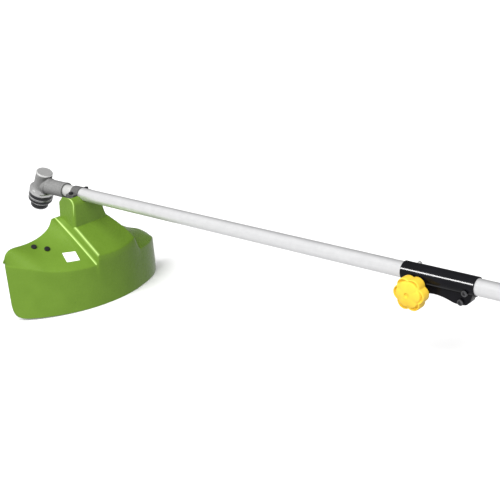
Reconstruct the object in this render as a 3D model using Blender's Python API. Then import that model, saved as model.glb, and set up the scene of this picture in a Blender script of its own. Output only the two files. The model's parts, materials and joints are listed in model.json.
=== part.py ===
"""Electric brush cutter with a split shaft, lying on the floor on its guard and its motor foot.

Every length below is in millimetres and every angle in degrees. The meshes are made in metres.
The tool frame has X along the shaft from the gear head to the motor, Y across, Z up from the shaft,
and its origin where the output spindle crosses the shaft.
"""

from math import atan, cos, degrees, radians, sin, sqrt, tau

import bmesh
import bpy
import numpy as np
from mathutils import Matrix, Vector

MM = 0.001
GAP = 0.3

# Shaft
TUBE_R = 13.0
TUBE_BORE = 11.3
LOWER_TUBE = (133.3, 966.0)
UPPER_TUBE = (970.0, 1490.0)
SHAFT_R = 4.0

# Gear head, along its own axis, which leans towards the motor
SPINDLE_LEAN = 25.5
SPINDLE_R = 5.0
BEARING_R = 13.2
CAVITY_R = 13.5
CAP_R = 17.5
BARREL_R = 16.0
BARREL_END = 83.0
COLLAR_R = 12.6
SPIGOT_R = 11.0
SPIGOT_END = 169.0
LOCK_SCREW_X = 157.0
PINION_TEETH = 14
WHEEL_TEETH = 19

# Guard
GUARD_CENTRE_X = 10.5
GUARD_R = 200.5
GUARD_WALL = 3.0
GUARD_FRONT_X = 97.0
GUARD_END = 64.8
RIM_CORNER = 24.0
RIM_AT_AXIS = -220.9
RIM_SLOPE = 0.052
BRACKET_X = (110.5, 133.0)
SHELF_Z = -19.6
SADDLE_TOP = (147.0, -56.0)
SADDLE_SLOPE = 0.754
SADDLE_BULGE = 3.5

# Split shaft coupler and its clamp
COUPLER = (907.0, 1032.0)
COUPLER_R = 15.0
COUPLER_BORE = 13.3
FIN_HALF = 8.0
KNOB_X = 935.7
KNOB_Z = -21.5
KNOB_LOBES = 6
KNOB_LOBE_AT = 14.5
KNOB_LOBE_R = 12.5
BUTTON_X = 929.0
BUTTON_TURN = 30.0

# Handle and harness ring
HANDLE_X = 1195.0
HANDLE_PIVOT_Z = 28.0
RING_X = 1340.0
RING_PIVOT_Z = -22.0
RING_R = 12.0

# Motor unit
MOTOR_R = 52.0
FOOT = (1700.0, -66.0)
TRIGGER_PIVOT = (1580.0, -12.0)
AXLE_R = 3.0
AXLE_HALF = 13.0
LOCK_OFF_X = 1535.0
HOUSING_SCREWS = [(1466.0, 0.0, -16.9), (1768.0, -6.0, 32.0)]

PITCH = degrees(atan((FOOT[1] - RIM_AT_AXIS - RIM_SLOPE * (GUARD_CENTRE_X + GUARD_R))
                     / (FOOT[0] - GUARD_CENTRE_X - GUARD_R)))


def clear_scene():
    for thing in list(bpy.data.objects):
        bpy.data.objects.remove(thing, do_unlink=True)


def material(name, colour, roughness, metallic=0.0):
    made = bpy.data.materials.new(name)
    made.use_nodes = True
    shader = made.node_tree.nodes["Principled BSDF"]
    shader.inputs["Base Color"].default_value = (*colour, 1.0)
    shader.inputs["Roughness"].default_value = roughness
    shader.inputs["Metallic"].default_value = metallic
    return made


def empty(name, parent=None, at=(0, 0, 0), turn=(0, 0, 0)):
    """An empty placed in millimetres and degrees under its parent."""
    made = bpy.data.objects.new(name, None)
    bpy.context.collection.objects.link(made)
    made.parent = parent
    made.location = Vector(at) * MM
    made.rotation_euler = [radians(angle) for angle in turn]
    return made


def finish(name, bm, paint, parent, at=(0, 0, 0), turn=(0, 0, 0)):
    """Turns a bmesh in millimetres into an object in metres, with round faces shaded smooth."""
    bmesh.ops.remove_doubles(bm, verts=bm.verts, dist=1e-4)
    bmesh.ops.recalc_face_normals(bm, faces=bm.faces)
    bmesh.ops.scale(bm, vec=(MM, MM, MM), verts=bm.verts)
    mesh = bpy.data.meshes.new(name)
    bm.to_mesh(mesh)
    bm.free()
    mesh.shade_smooth()
    mesh.set_sharp_from_angle(angle=radians(32))
    made = bpy.data.objects.new(name, mesh)
    bpy.context.collection.objects.link(made)
    made.data.materials.append(PAINT[paint] if paint else PAINT["cutter"])
    made.parent = parent
    made.location = Vector(at) * MM
    made.rotation_euler = [radians(angle) for angle in turn]
    return made


def combine(target, tool, operation="DIFFERENCE"):
    """Cuts the tool from the target, or joins it on, and hides the tool."""
    step = target.modifiers.new(tool.name, "BOOLEAN")
    step.object = tool
    step.operation = operation
    step.solver = "EXACT"
    tool.hide_render = True
    tool.display_type = "WIRE"


def turned(profile, segments=32):
    """A solid turned about Z from (radius, height) points. A profile that starts and ends on the axis
    stays open there, any other is closed into a ring."""
    bm = bmesh.new()
    points = [bm.verts.new((radius, 0, height)) for radius, height in profile]
    ring = profile[0][0] > 0 or profile[-1][0] > 0
    ends = points[1:] + points[:1] if ring else points[1:]
    edges = [bm.edges.new(pair) for pair in zip(points, ends)]
    bmesh.ops.spin(bm, geom=points + edges, cent=(0, 0, 0), axis=(0, 0, 1), angle=tau,
                   steps=segments, use_merge=True)
    bmesh.ops.remove_doubles(bm, verts=bm.verts, dist=1e-4)
    return bm


def rod(radius, low, high, segments=20, chamfer=0.0):
    edge = [(radius, low), (radius, high)]
    if chamfer:
        edge = [(radius - chamfer, low), (radius, low + chamfer), (radius, high - chamfer),
                (radius - chamfer, high)]
    return turned([(0, low), *edge, (0, high)], segments)


def pipe(outer, inner, low, high, segments=32):
    return turned([(inner, low), (outer, low), (outer, high), (inner, high)], segments)


def box(low, high, bevel=0.0, segments=2):
    """A box between two corners, with its edges rounded where a bevel is given."""
    bm = bmesh.new()
    bmesh.ops.create_cube(bm, size=1)
    low, high = Vector(low), Vector(high)
    bmesh.ops.scale(bm, vec=high - low, verts=bm.verts)
    bmesh.ops.translate(bm, vec=(low + high) / 2, verts=bm.verts)
    if bevel:
        bmesh.ops.bevel(bm, geom=bm.edges[:], offset=bevel, segments=segments, profile=0.5,
                        affect="EDGES", material=-1)
    return bm


def slab(outline, low, high, bevel=0.0):
    """An outline of (x, z) points pushed along Y from low to high, with its two rims rounded."""
    bm = bmesh.new()
    face = bm.faces.new([bm.verts.new((x, low, z)) for x, z in outline])
    pushed = bmesh.ops.extrude_face_region(bm, geom=[face])
    moved = [item for item in pushed["geom"] if isinstance(item, bmesh.types.BMVert)]
    bmesh.ops.translate(bm, vec=(0, high - low, 0), verts=moved)
    if bevel:
        rims = [edge for edge in bm.edges if edge.verts[0].co.y == edge.verts[1].co.y]
        bmesh.ops.bevel(bm, geom=rims, offset=bevel, segments=1, profile=0.5, affect="EDGES",
                        material=-1)
    return bm


def arc(centre, radius, start, end, steps):
    """Points of a round stretch of an outline, from one angle to the other."""
    angles = [radians(start + (end - start) * step / steps) for step in range(steps + 1)]
    return [(centre[0] + radius * cos(angle), centre[1] + radius * sin(angle)) for angle in angles]


def along_shaft(name, bm, paint, parent, x=0.0):
    """Places a shape that was turned about Z so that its height runs along the shaft."""
    return finish(name, bm, paint, parent, at=(x, 0, 0), turn=(0, 90, 0))


# Finishes

def make_paints():
    finishes = {
        "guard_green": ((0.19, 0.34, 0.04), 0.38, 0.0),
        "anodised_tube": ((0.78, 0.78, 0.79), 0.32, 0.9),
        "cast_alloy": ((0.42, 0.42, 0.42), 0.5, 0.85),
        "bright_steel": ((0.72, 0.72, 0.72), 0.22, 1.0),
        "spring_steel": ((0.42, 0.42, 0.44), 0.35, 1.0),
        "black_gloss": ((0.01, 0.01, 0.013), 0.22, 0.0),
        "black_steel": ((0.015, 0.015, 0.018), 0.2, 0.6),
        "black_plastic": ((0.02, 0.02, 0.022), 0.55, 0.0),
        "black_screw": ((0.02, 0.02, 0.02), 0.4, 0.4),
        "knob_yellow": ((0.92, 0.72, 0.03), 0.42, 0.0),
        "housing_green": ((0.17, 0.31, 0.04), 0.42, 0.0),
        "copper_winding": ((0.5, 0.2, 0.07), 0.4, 0.8),
        "core_steel": ((0.3, 0.3, 0.31), 0.45, 0.9),
        "brass": ((0.62, 0.45, 0.18), 0.3, 1.0),
        "carbon": ((0.03, 0.03, 0.03), 0.7, 0.0),
        "natural_nylon": ((0.7, 0.68, 0.6), 0.5, 0.0),
        "rubber_grip": ((0.015, 0.015, 0.016), 0.75, 0.0),
        "cutter": ((0.5, 0.5, 0.5), 0.5, 0.0),
    }
    return {name: material(name, *values) for name, values in finishes.items()}


# Gear head

def gear_case(tool, gear):
    """The cast case: an upright body, the barrel of the pinion and the spigot that enters the tube."""
    body = turned([(0, -14.9), (24.8, -14.9), (25.8, -13.9), (25.8, -8.4), (25, -7.2), (20.5, -3.2),
                   (19.2, -1), (18.2, 6), (17.4, 20), (17.2, 28.5), (0, 28.5)], 28)
    case = finish("gear_case", body, "cast_alloy", gear)
    barrel = turned([(0, 2), (15.4, 2), (BARREL_R, 12), (BARREL_R, BARREL_END - 4),
                     (BARREL_R - 1.2, BARREL_END - 3.4), (BARREL_R - 1.2, BARREL_END - 2),
                     (BARREL_R - 0.4, BARREL_END - 1.6), (BARREL_R - 1.2, BARREL_END),
                     (COLLAR_R, BARREL_END), (COLLAR_R, BRACKET_X[0] - 1.4),
                     (SPIGOT_R, BRACKET_X[0] - 0.6), (SPIGOT_R, SPIGOT_END - 1),
                     (SPIGOT_R - 1, SPIGOT_END), (0, SPIGOT_END)], 26)
    combine(case, along_shaft("case_barrel", barrel, None, tool), "UNION")
    cavity = rod(CAVITY_R, -17, 30, 24)
    combine(case, finish("case_cavity", cavity, None, gear))
    bore = turned([(0, 4), (12.5, 4), (12.5, 36), (7.5, 38), (7.5, 171), (0, 171)], 18)
    combine(case, along_shaft("case_bore", bore, None, tool))
    screw_hole = rod(2.4, 13, 24, 12)
    combine(case, finish("grease_hole", screw_hole, None, tool, at=(50, 0, 0), turn=(-90, 0, 0)))
    lock_hole = rod(2.2, 5, 14, 12)
    combine(case, finish("lock_hole", lock_hole, None, tool, at=(LOCK_SCREW_X, 0, 0), turn=(-146, 0, 0)))


def gear_cap(gear):
    """The round cap that closes the case, with a bevelled rim and a shallow dish."""
    cap = turned([(0, 28.8), (CAP_R - 0.5, 28.8), (CAP_R, 29.3), (CAP_R, 31.6), (CAP_R - 0.8, 33),
                  (CAP_R - 2.6, 34), (CAP_R - 3.2, 33.6), (0, 33.6)], 28)
    finish("gear_case_cap", cap, "cast_alloy", gear)


def grease_screw(tool):
    screw = turned([(0, 14), (2.0, 14), (2.0, 16.4), (5, 16.4), (5, 18.6), (4.4, 19.2), (0, 19.2)], 16)
    finish("grease_screw", screw, "bright_steel", tool, at=(50, 0, 0), turn=(-90, 0, 0))


def toothed_cone(profile, teeth, groove):
    """A turned gear blank whose toothed cone is grooved: points on every second line
    are drawn in. The profile marks the toothed points with True."""
    steps = teeth * 2
    bm = bmesh.new()
    rings = []
    for step in range(steps):
        angle = tau * step / steps
        drawn = groove if step % 2 else 0.0
        ring = []
        for radius, height, cut in profile:
            wide = radius - drawn if cut else radius
            ring.append(bm.verts.new((wide * cos(angle), wide * sin(angle), height)))
        rings.append(ring)
    for here, there in zip(rings, rings[1:] + rings[:1]):
        for index in range(len(profile)):
            after = (index + 1) % len(profile)
            bm.faces.new((here[index], there[index], there[after], here[after]))
    return bm


def bevel_gears(gear, shaft):
    wheel = toothed_cone([(5.3, 23.2, False), (5.3, 10.8, False), (8.0, 10.8, True),
                          (12.0, 15.8, True), (12.2, 17.6, False), (8.0, 20, False),
                          (8.0, 23.2, False)], WHEEL_TEETH, 0.9)
    finish("driven_gear", wheel, "core_steel", gear)
    pinion = toothed_cone([(4.3, 11.9, False), (5.6, 11.9, True), (8.5, 17.7, True),
                           (8.3, 19.0, False), (6.0, 19.8, False), (6.0, 23.4, False),
                           (4.3, 23.4, False)], PINION_TEETH, 0.7)
    along_shaft("pinion_gear", pinion, "core_steel", shaft)


def gear_head_bearings(tool, gear):
    for name, low, high in (("spindle_upper_bearing", 23.6, 28.2),
                            ("spindle_lower_bearing", -13.2, -6.0)):
        finish(name, pipe(BEARING_R, SPINDLE_R + GAP, low, high, 20), "bright_steel", gear)
    along_shaft("pinion_bearing", pipe(12.0, SHAFT_R + GAP, 24, 34, 16), "bright_steel", tool)


def spindle_set(gear):
    """The output spindle with the flanges that clamp a cutting tool, the nut and its cover."""
    spindle = turned([(0, -51.6), (SPINDLE_R - 0.8, -51.6), (SPINDLE_R, -50.8), (SPINDLE_R, 27.2),
                      (SPINDLE_R - 0.8, 28), (0, 28)], 20)
    finish("spindle", spindle, "bright_steel", gear)
    bore = SPINDLE_R + GAP
    inner = turned([(bore, -15.3), (24.4, -15.3), (25.2, -16.1), (25.2, -24.4), (26.0, -25), (26.0, -26.4),
                    (25.4, -26.9), (bore, -26.9)], 28)
    finish("inner_flange", inner, "black_steel", gear)
    outer = turned([(bore, -27.3), (24.8, -27.3), (25.4, -28), (25.4, -34.2), (24.2, -36),
                    (bore, -36)], 28)
    finish("outer_flange", outer, "black_steel", gear)
    nut = finish("spindle_nut", rod(17.6, -39.8, -36.4, 24), "bright_steel", gear)
    combine(nut, finish("nut_hexagon", rod(9.8, -49.4, -38, 6), None, gear), "UNION")
    combine(nut, finish("nut_bore", rod(bore, -52, -35, 20), None, gear))
    cover = turned([(10.4, -40.2), (18.4, -40.2), (18.7, -40.8), (18.7, -50.2), (16.8, -53.4),
                    (13, -53.4), (11.4, -51.8), (10.4, -51.8)], 24)
    finish("nut_cover", cover, "black_steel", gear)


# Shaft

def tubes(lower, upper, button_frame):
    tube = along_shaft("lower_tube", pipe(TUBE_R, TUBE_BORE, *LOWER_TUBE, 36), "anodised_tube", lower)
    combine(tube, finish("button_hole", rod(3.9, 8, 16, 20), None, button_frame))
    combine(tube, finish("tube_screw_hole", rod(2.2, 9, 16, 12), None, lower, at=(LOCK_SCREW_X, 0, 0),
                         turn=(-146, 0, 0)))
    lock = turned([(0, 7.9), (1.8, 7.9), (1.8, 13.6), (4, 13.6), (4, 16.4), (3.2, 17.4), (0, 17.4)],
                  16)
    finish("tube_lock_screw", lock, "black_screw", lower, at=(LOCK_SCREW_X, 0, 0), turn=(-146, 0, 0))
    along_shaft("upper_tube", pipe(TUBE_R, TUBE_BORE, *UPPER_TUBE, 36), "anodised_tube", upper)
    for name, parent, middle in (("lower_shaft_bush", lower, 540.0), ("upper_shaft_bush", upper, 1240.0)):
        along_shaft(name, pipe(TUBE_BORE - GAP, SHAFT_R + GAP, middle - 15, middle + 15, 16),
                    "natural_nylon", parent)


def drive_shafts(shaft, rotor):
    """The two shafts meet in a square socket inside the coupler."""
    lower = along_shaft("lower_drive_shaft", rod(SHAFT_R, 12.3, 945, 20), "bright_steel", shaft)
    sleeve = rod(8.0, 938, 968, 20)
    combine(lower, along_shaft("socket_sleeve", sleeve, None, shaft), "UNION")
    combine(lower, finish("socket_hole", box((950, -3.2, -3.2), (970, 3.2, 3.2)), None, shaft))
    upper = along_shaft("upper_drive_shaft", rod(SHAFT_R, 975, 1597.7, 20), "bright_steel", rotor)
    combine(upper, finish("square_end", box((953, -2.9, -2.9), (980, 2.9, 2.9)), None, rotor), "UNION")


# Guard and its bracket

def guard_bracket(tool):
    """Two clamp halves on the spigot, the lower one carrying the guard."""
    front, back = BRACKET_X
    lower = finish("guard_bracket_lower",
                   box((front, -24, SHELF_Z + GAP), (back, 24, -0.4), 1.0, 1), "cast_alloy", tool)
    notch = along_shaft("bracket_notch", rod(SPIGOT_R + GAP, front - 5, back + 5, 28), None, tool)
    combine(lower, notch)
    strap = slab([(-24, 0.4), (-24, 3.4), *arc((0, 0), SPIGOT_R + 3.4, 164, 16, 12), (24, 3.4),
                  (24, 0.4)], front, back)
    upper = finish("guard_bracket_upper", strap, "cast_alloy", tool, turn=(0, 0, -90))
    combine(upper, notch)
    middle = (front + back) / 2
    for name, side in (("bracket_bolt_near", -1), ("bracket_bolt_far", 1)):
        hole = finish(name + "_hole", rod(2.8, -30, 12, 12), None, tool, at=(middle, side * 19.8, 0))
        combine(lower, hole)
        combine(upper, hole)
        bolt = turned([(0, -16), (2.5, -16), (2.5, 4.3), (4.4, 4.3), (4.4, 7.6), (3.8, 8.2), (0, 8.2)], 16)
        finish(name, bolt, "black_screw", tool, at=(middle, side * 19.8, 0))
    pilot = finish("guard_screw_hole", rod(2.3, -30, -14, 12), None, tool, at=(middle, 0, 0))
    combine(lower, pilot)
    screw = turned([(0, -27), (4.5, -26.4), (4.5, -23.2), (2.0, -23.2), (2.0, -14.6), (0, -14.6)][::-1],
                   16)
    finish("guard_screw", screw, "black_screw", tool, at=(middle, 0, 0))
    return pilot


# Height of the guard's front edge at distances across, and of its crease at angles round its
# centre. The near wing is high and flat, the far one falls away.
FRONT_EDGE = [(-183.2, -97), (-181.2, -86.5), (-176.5, -77.5), (-168, -72), (-155, -70.8), (-139, -72.8),
              (-124, -73), (-108, -71.8), (-97, -70), (-84, -65.7), (-72, -60), (-65.5, -54), (-62.2, -48),
              (-59.6, -42), (-56, -40.9), (-40, -41), (39.5, -43), (50, -46), (62, -57), (80, -78),
              (100, -97), (129, -117), (143, -122), (162, -129), (178, -141), (190.7, -153)]
CREASE = [(-64.8, -99.8), (-52.6, -105.6), (-46, -111.8), (-40.2, -116.9), (-32, -120.5), (-24.8, -122.5),
          (-12.6, -123.3), (23.9, -132), (26.4, -131.5), (31.7, -134.5), (40, -137.5), (50, -140.5),
          (57, -147), (64.8, -157)]
FLARE = [(24, 0), (46, 8), (64, 11)]

# Lines of points over the guard: angle round the skirt's centre, distance across at the front edge
NEAR_WING = [(-64.8, -183.2), (-63.7, -181.2), (-61.8, -176.5), (-58.5, -168), (-53.5, -155),
             (-44, -132), (-33, -105.5), (-24, -84), (-18.2, -68), (-15.2, -59.6), (-12.6, -49.5)]
SADDLE = [(-11.07, -40.5), (-4, -16), (4, 12), (11, 29), (17.5, 41)]
FAR_WING = [(23.9, 50), (27, 62), (33, 83), (41, 108), (49, 134), (56, 157), (61.8, 179), (64.8, 190.7)]
SAG = [(-18.2, 0), (-15.2, 5.7), (-12.6, 0)]
TOP_ROWS = [0.0, 0.22, 0.43, 0.55, 0.8, 1.0]
KINK_ROW = 2
FAR_EDGE_SHIFT = [0.0, -3.0, -5.0, -1.9, 4.4, 0.0]
SKIRT_ROWS = [0.0, 0.3, 0.8, 1.0]

# The tower at several heights: front and back along the shaft, near and far side, corner radius
TOWER = [(-62, 97, 147, -42, 49, 6.5), (-55, 97, 147, -41.3, 45.5, 6.5), (-46, 97, 147, -40.3, 42, 6.5),
         (-36, 97, 147, -39.2, 39.4, 6.5), (-12, 97, 147, -36.8, 37.2, 6.2), (-8, 101, 146, -36.6, 37, 6),
         (-4, 105.6, 143.4, -36.3, 36.7, 5), (-1, 109, 139.6, -36, 36.4, 3.6), (0.7, 114, 133, -36, 36.4, 2)]


def between(points, at):
    return float(np.interp(at, [point[0] for point in points], [point[1] for point in points]))


def on_cylinder(angle, out=0.0):
    """A point of the skirt's circle. The far wing flares out a little."""
    radius = GUARD_R + out + between(FLARE, angle)
    return GUARD_CENTRE_X + radius * cos(radians(angle)), radius * sin(radians(angle))


def rim_height(x, angle):
    """The flat rim, rounded up at its two ends."""
    short_of_round = max(RIM_CORNER - radians(GUARD_END - abs(angle)) * GUARD_R, 0.0)
    lift = RIM_CORNER - sqrt(max(RIM_CORNER ** 2 - short_of_round ** 2, 0.0))
    return RIM_AT_AXIS + RIM_SLOPE * x + lift


def down_the_skirt(angle, crease_z, bulge):
    """Points of the skirt from just under the crease to the rim."""
    start = crease_z - (12.0 if bulge else 3.0)
    line = []
    for part in SKIRT_ROWS:
        x, y = on_cylinder(angle, 0.0 if part else bulge)
        line.append((x, y, start + (rim_height(x, angle) - start) * part))
    return line


def wing_column(angle, front_y):
    """One line of points over a wing, from the front edge to the rim."""
    crease_x, crease_y = on_cylinder(angle, -1.2)
    front_z, crease_z = between(FRONT_EDGE, front_y), between(CREASE, angle)
    sag = between(SAG, angle)
    line = []
    for part in TOP_ROWS:
        z = front_z + (crease_z - front_z) * part + 1.5 * sin(radians(180 * part))
        z -= sag * min(part / 0.15, 1) * (1 - part)
        line.append((GUARD_FRONT_X + (crease_x - GUARD_FRONT_X) * part,
                     front_y + (crease_y - front_y) * part, z))
    return line + down_the_skirt(angle, crease_z, 0.0)


def saddle_column(angle, front_y):
    """One line of points over the saddle: level under the tower, then down a straight slope."""
    crease_x, crease_y = on_cylinder(angle, SADDLE_BULGE - 1.2)
    front_z = between(FRONT_EDGE, front_y)
    line = []
    for row, (part, shift) in enumerate(zip(TOP_ROWS, FAR_EDGE_SHIFT)):
        x = GUARD_FRONT_X + (crease_x - GUARD_FRONT_X) * part
        y = front_y + (crease_y - front_y) * part + shift * max(angle / 17.5, 0.0) ** 3
        z = SADDLE_TOP[1] - SADDLE_SLOPE * (x - SADDLE_TOP[0])
        if row < KINK_ROW:
            z = front_z + (SADDLE_TOP[1] + 3 - front_z) * part / TOP_ROWS[KINK_ROW]
        line.append((x, y, z))
    return line + down_the_skirt(angle, line[-1][2], SADDLE_BULGE)


def guard_face():
    """The outer face of the guard as a grid of quads, with its ridges creased for subdivision."""
    bm = bmesh.new()
    crease = bm.edges.layers.float.new("crease_edge")
    lines = [wing_column(*place) for place in NEAR_WING]
    lines += [saddle_column(*place) for place in SADDLE]
    lines += [wing_column(*place) for place in FAR_WING]
    grid = [[bm.verts.new(point) for point in line] for line in lines]
    for here, there in zip(grid, grid[1:]):
        for row in range(len(here) - 1):
            bm.faces.new((here[row], here[row + 1], there[row + 1], there[row]))
    last_top = len(TOP_ROWS) - 1
    foot = len(NEAR_WING) - 1
    last = foot + len(SADDLE)
    for column, sharp in ((foot, 1.0), (foot + 1, 1.0), (last, 1.0), (last + 1, 0.5)):
        line = grid[column]
        for row in range(last_top + 1):
            bm.edges.get((line[row], line[row + 1]))[crease] = sharp
    for here, there in zip(grid, grid[1:]):
        for row, sharp in ((last_top, 0.9), (last_top + 1, 0.6)):
            bm.edges.get((here[row], there[row]))[crease] = sharp
    for face in bm.faces:
        face.smooth = True
    return bm


def stacked(rings, grow=0.0, steps=2):
    """A closed solid through rounded rectangles at several heights."""
    bm = bmesh.new()
    loops = []
    for z, front, behind, near, far, radius in rings:
        low_x, high_x = front - grow + radius, behind + grow - radius
        low_y, high_y = near - grow + radius, far + grow - radius
        corners = ((high_x, high_y, 0), (low_x, high_y, 90), (low_x, low_y, 180), (high_x, low_y, 270))
        loops.append([bm.verts.new((*point, z)) for x, y, start in corners
                      for point in arc((x, y), radius, start, start + 90, steps)])
    for lower, higher in zip(loops, loops[1:]):
        for index in range(len(lower)):
            after = (index + 1) % len(lower)
            bm.faces.new((lower[index], lower[after], higher[after], higher[index]))
    bm.faces.new(loops[0])
    bm.faces.new(loops[-1])
    return bm


def guard(tool, pilot, wing):
    """The moulded guard: a thin shell with a hollow tower under the shaft."""
    face = guard_face()
    shell = finish("guard_shell", face, "guard_green", tool)
    fine = shell.modifiers.new("rounder", "SUBSURF")
    fine.levels = fine.render_levels = 1
    wall = shell.modifiers.new("wall", "SOLIDIFY")
    wall.thickness = GUARD_WALL * MM
    wall.offset = -1
    wall.use_even_offset = True
    combine(shell, finish("tower", stacked(TOWER), None, tool), "UNION")
    foot = (-120, 97, 147, -44, 52, 6.5)
    shelf = (SHELF_Z - GUARD_WALL, 97, 147, -37.6, 38, 6.5)
    hollow = stacked([foot, *TOWER[:4], shelf], -GUARD_WALL)
    combine(shell, finish("tower_hollow", hollow, None, tool))
    behind = BRACKET_X[1]
    pocket = box((80, -24.6, SHELF_Z), (behind + 0.6, 24.6, 10))
    combine(shell, finish("bracket_pocket", pocket, None, tool))
    mouth = stacked([(-11, 60, behind + 0.2, -23, 20, 0.6), (0, 60, behind + 2, -33, 20, 0.6),
                     (2, 60, behind + 2.4, -34.6, 20, 0.6)], 0.0, 1)
    combine(shell, finish("bracket_mouth", mouth, None, tool))
    far_top = box((60, 5, -6), (149, 92, 12))
    combine(shell, finish("low_far_wall", far_top, None, tool))
    combine(shell, along_shaft("tube_groove", rod(TUBE_R + 0.7, 90, 160, 28), None, tool))
    combine(shell, pilot)
    for place in (-13, 13):
        combine(shell, finish("cutter_hole", rod(2.4, -9, 6, 12), None, wing, at=(place, 0, 0)))


def wing_frame(tool):
    """Seat of the line cutter under the near wing: X along its two screws, Z out of the surface."""
    normal = Vector((0.583, -0.175, 1)).normalized()
    first, second = Vector((110.7, -118.9, -80.0)), Vector((128.2, -100.1, -87.0))
    along = second - first
    along = (along - normal * along.dot(normal)).normalized()
    seat = empty("wing_seat", tool)
    axes = Matrix((along, normal.cross(along), normal)).transposed()
    seat.rotation_euler = axes.to_euler()
    seat.location = (first + second) / 2 * MM
    return seat


def line_cutter(wing):
    """A bent steel blade under the wing, held by two pan head screws."""
    low, high = -6.6, -4.6
    profile = [(-9, high), (-9, -26), (-7, -28), (-7, low), (9, low), (9, high)]
    blade = finish("line_cutter_blade", slab(profile, -21, 21), "spring_steel", wing, turn=(0, 0, 90))
    for name, place in (("cutter_screw_outer", -13), ("cutter_screw_inner", 13)):
        hole = finish(name + "_hole", rod(2.3, -12, 6, 12), None, wing, at=(place, 0, 0))
        combine(blade, hole)
        screw = turned([(0, -8.4), (2.0, -8.4), (2.0, 0.7), (5.8, 0.7), (5.8, 2.4), (4.4, 3.8), (0, 4.2)], 16)
        finish(name, screw, "black_screw", wing, at=(place, 0, 0))


# Coupler

def coupler(upper, button_frame):
    """The split sleeve: it is screwed to the upper tube and clamps the lower one."""
    body = along_shaft("coupler_body", rod(COUPLER_R, *COUPLER, 32, 0.8), "black_gloss", upper)
    outline = [(908, -5), (908, -27), (911, -29.6), (940, -28), (955, -25.4), (970, -25), (985, -27.8),
               (996, -31), (1008, -32), (1017, -30), (1023, -24), (1027, -12), (1029, -5)]
    fin = finish("coupler_fin", slab(outline, -FIN_HALF, FIN_HALF, 1.5), None, upper)
    combine(body, fin, "UNION")
    combine(body, along_shaft("coupler_bore", rod(COUPLER_BORE, 900, 1040, 32), None, upper))
    combine(body, finish("clamp_slit", box((900, -1, -45), (992, 1, -8)), None, upper))
    slot = slab([(900, 4.2), (900, -4.2), *arc((BUTTON_X, 0), 4.2, -90, 90, 8)], 9, 20)
    combine(body, finish("button_slot", slot, None, button_frame, at=(-BUTTON_X, 0, 0), turn=(90, 0, 0)))
    across = finish("stud_hole", rod(3.4, -14, 14, 16), None, upper, at=(KNOB_X, 0, KNOB_Z),
                    turn=(90, 0, 0))
    combine(body, across)
    nut = finish("clamp_nut", rod(6.4, FIN_HALF + GAP, FIN_HALF + 5.3, 6), "bright_steel", upper,
                 at=(KNOB_X, 0, KNOB_Z), turn=(-90, 0, 0))
    combine(nut, across)
    for name, x, z, head in (("coupler_screw_lower", 1009, -26, FIN_HALF + 0.4),
                             ("coupler_screw_upper", 1019, -7.5, 14.0)):
        hole = finish(name + "_hole", rod(2.3, 5, 30, 12), None, upper, at=(x, 0, z), turn=(90, 0, 0))
        combine(body, hole)
        tip = 5.6 if head < 12 else 13.6
        shape = [(0, tip), (1.9, tip), (1.9, head), (5, head), (5, head + 3.2), (4.4, head + 3.8),
                 (2.6, head + 3.8), (2.6, head + 1.6), (0, head + 1.6)]
        finish(name, turned(shape, 18), "bright_steel", upper, at=(x, 0, z), turn=(90, 0, 0))
    seat = finish("upper_screw_seat", rod(5.5, 13.6, 30, 18), None, upper, at=(1019, 0, -7.5),
                  turn=(90, 0, 0))
    combine(body, seat)


def flower(scale):
    """The knob's outline: the outer edge of six round lobes set on a circle."""
    points = []
    steps = 6
    for lobe in range(KNOB_LOBES):
        for step in range(steps):
            off = radians(-30 + 60 * step / steps)
            reach = KNOB_LOBE_AT * cos(off) + sqrt(KNOB_LOBE_R ** 2 - (KNOB_LOBE_AT * sin(off)) ** 2)
            angle = off + tau * lobe / KNOB_LOBES
            points.append((reach * scale * cos(angle), reach * scale * sin(angle)))
    return points


def knob(knob_frame, carrier):
    """The yellow clamp knob on its stud. Its frame's Z points away from the coupler."""
    levels = [(18.0, 0.93), (20.0, 1.0), (33, 1.0), (35, 0.93), (35.2, 0.86), (39, 0.86), (40.4, 0.8)]
    bm = bmesh.new()
    rings = [[bm.verts.new((x, y, height)) for x, y in flower(scale)] for height, scale in levels]
    for lower, higher in zip(rings, rings[1:]):
        for index in range(len(lower)):
            after = (index + 1) % len(lower)
            bm.faces.new((lower[index], lower[after], higher[after], higher[index]))
    bm.faces.new(rings[0])
    bm.faces.new(rings[-1])
    made = finish("clamp_knob", bm, "knob_yellow", knob_frame)
    combine(made, finish("knob_hub", rod(9, 10.4, 20, 28, 0.6), None, knob_frame), "UNION")
    combine(made, finish("knob_dimple", rod(4.6, 37, 44, 20), None, knob_frame))
    combine(made, finish("knob_bore", rod(3.4, 5, 30.4, 16), None, knob_frame))
    finish("clamp_stud", rod(3.0, -14.5, 30, 16, 0.5), "bright_steel", knob_frame)
    finish("clamp_washer", pipe(8.6, 3.4, FIN_HALF + GAP, 10.1, 16), "bright_steel", carrier)


def detent_button(button):
    shape = turned([(0, 8.4), (5.2, 8.4), (5.2, 9.4), (3.5, 9.4), (3.5, 15.6), (2.6, 17.2), (1.2, 17.9),
                    (0, 18)], 20)
    finish("detent_button", shape, "bright_steel", button)


# Handle and harness ring

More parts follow.
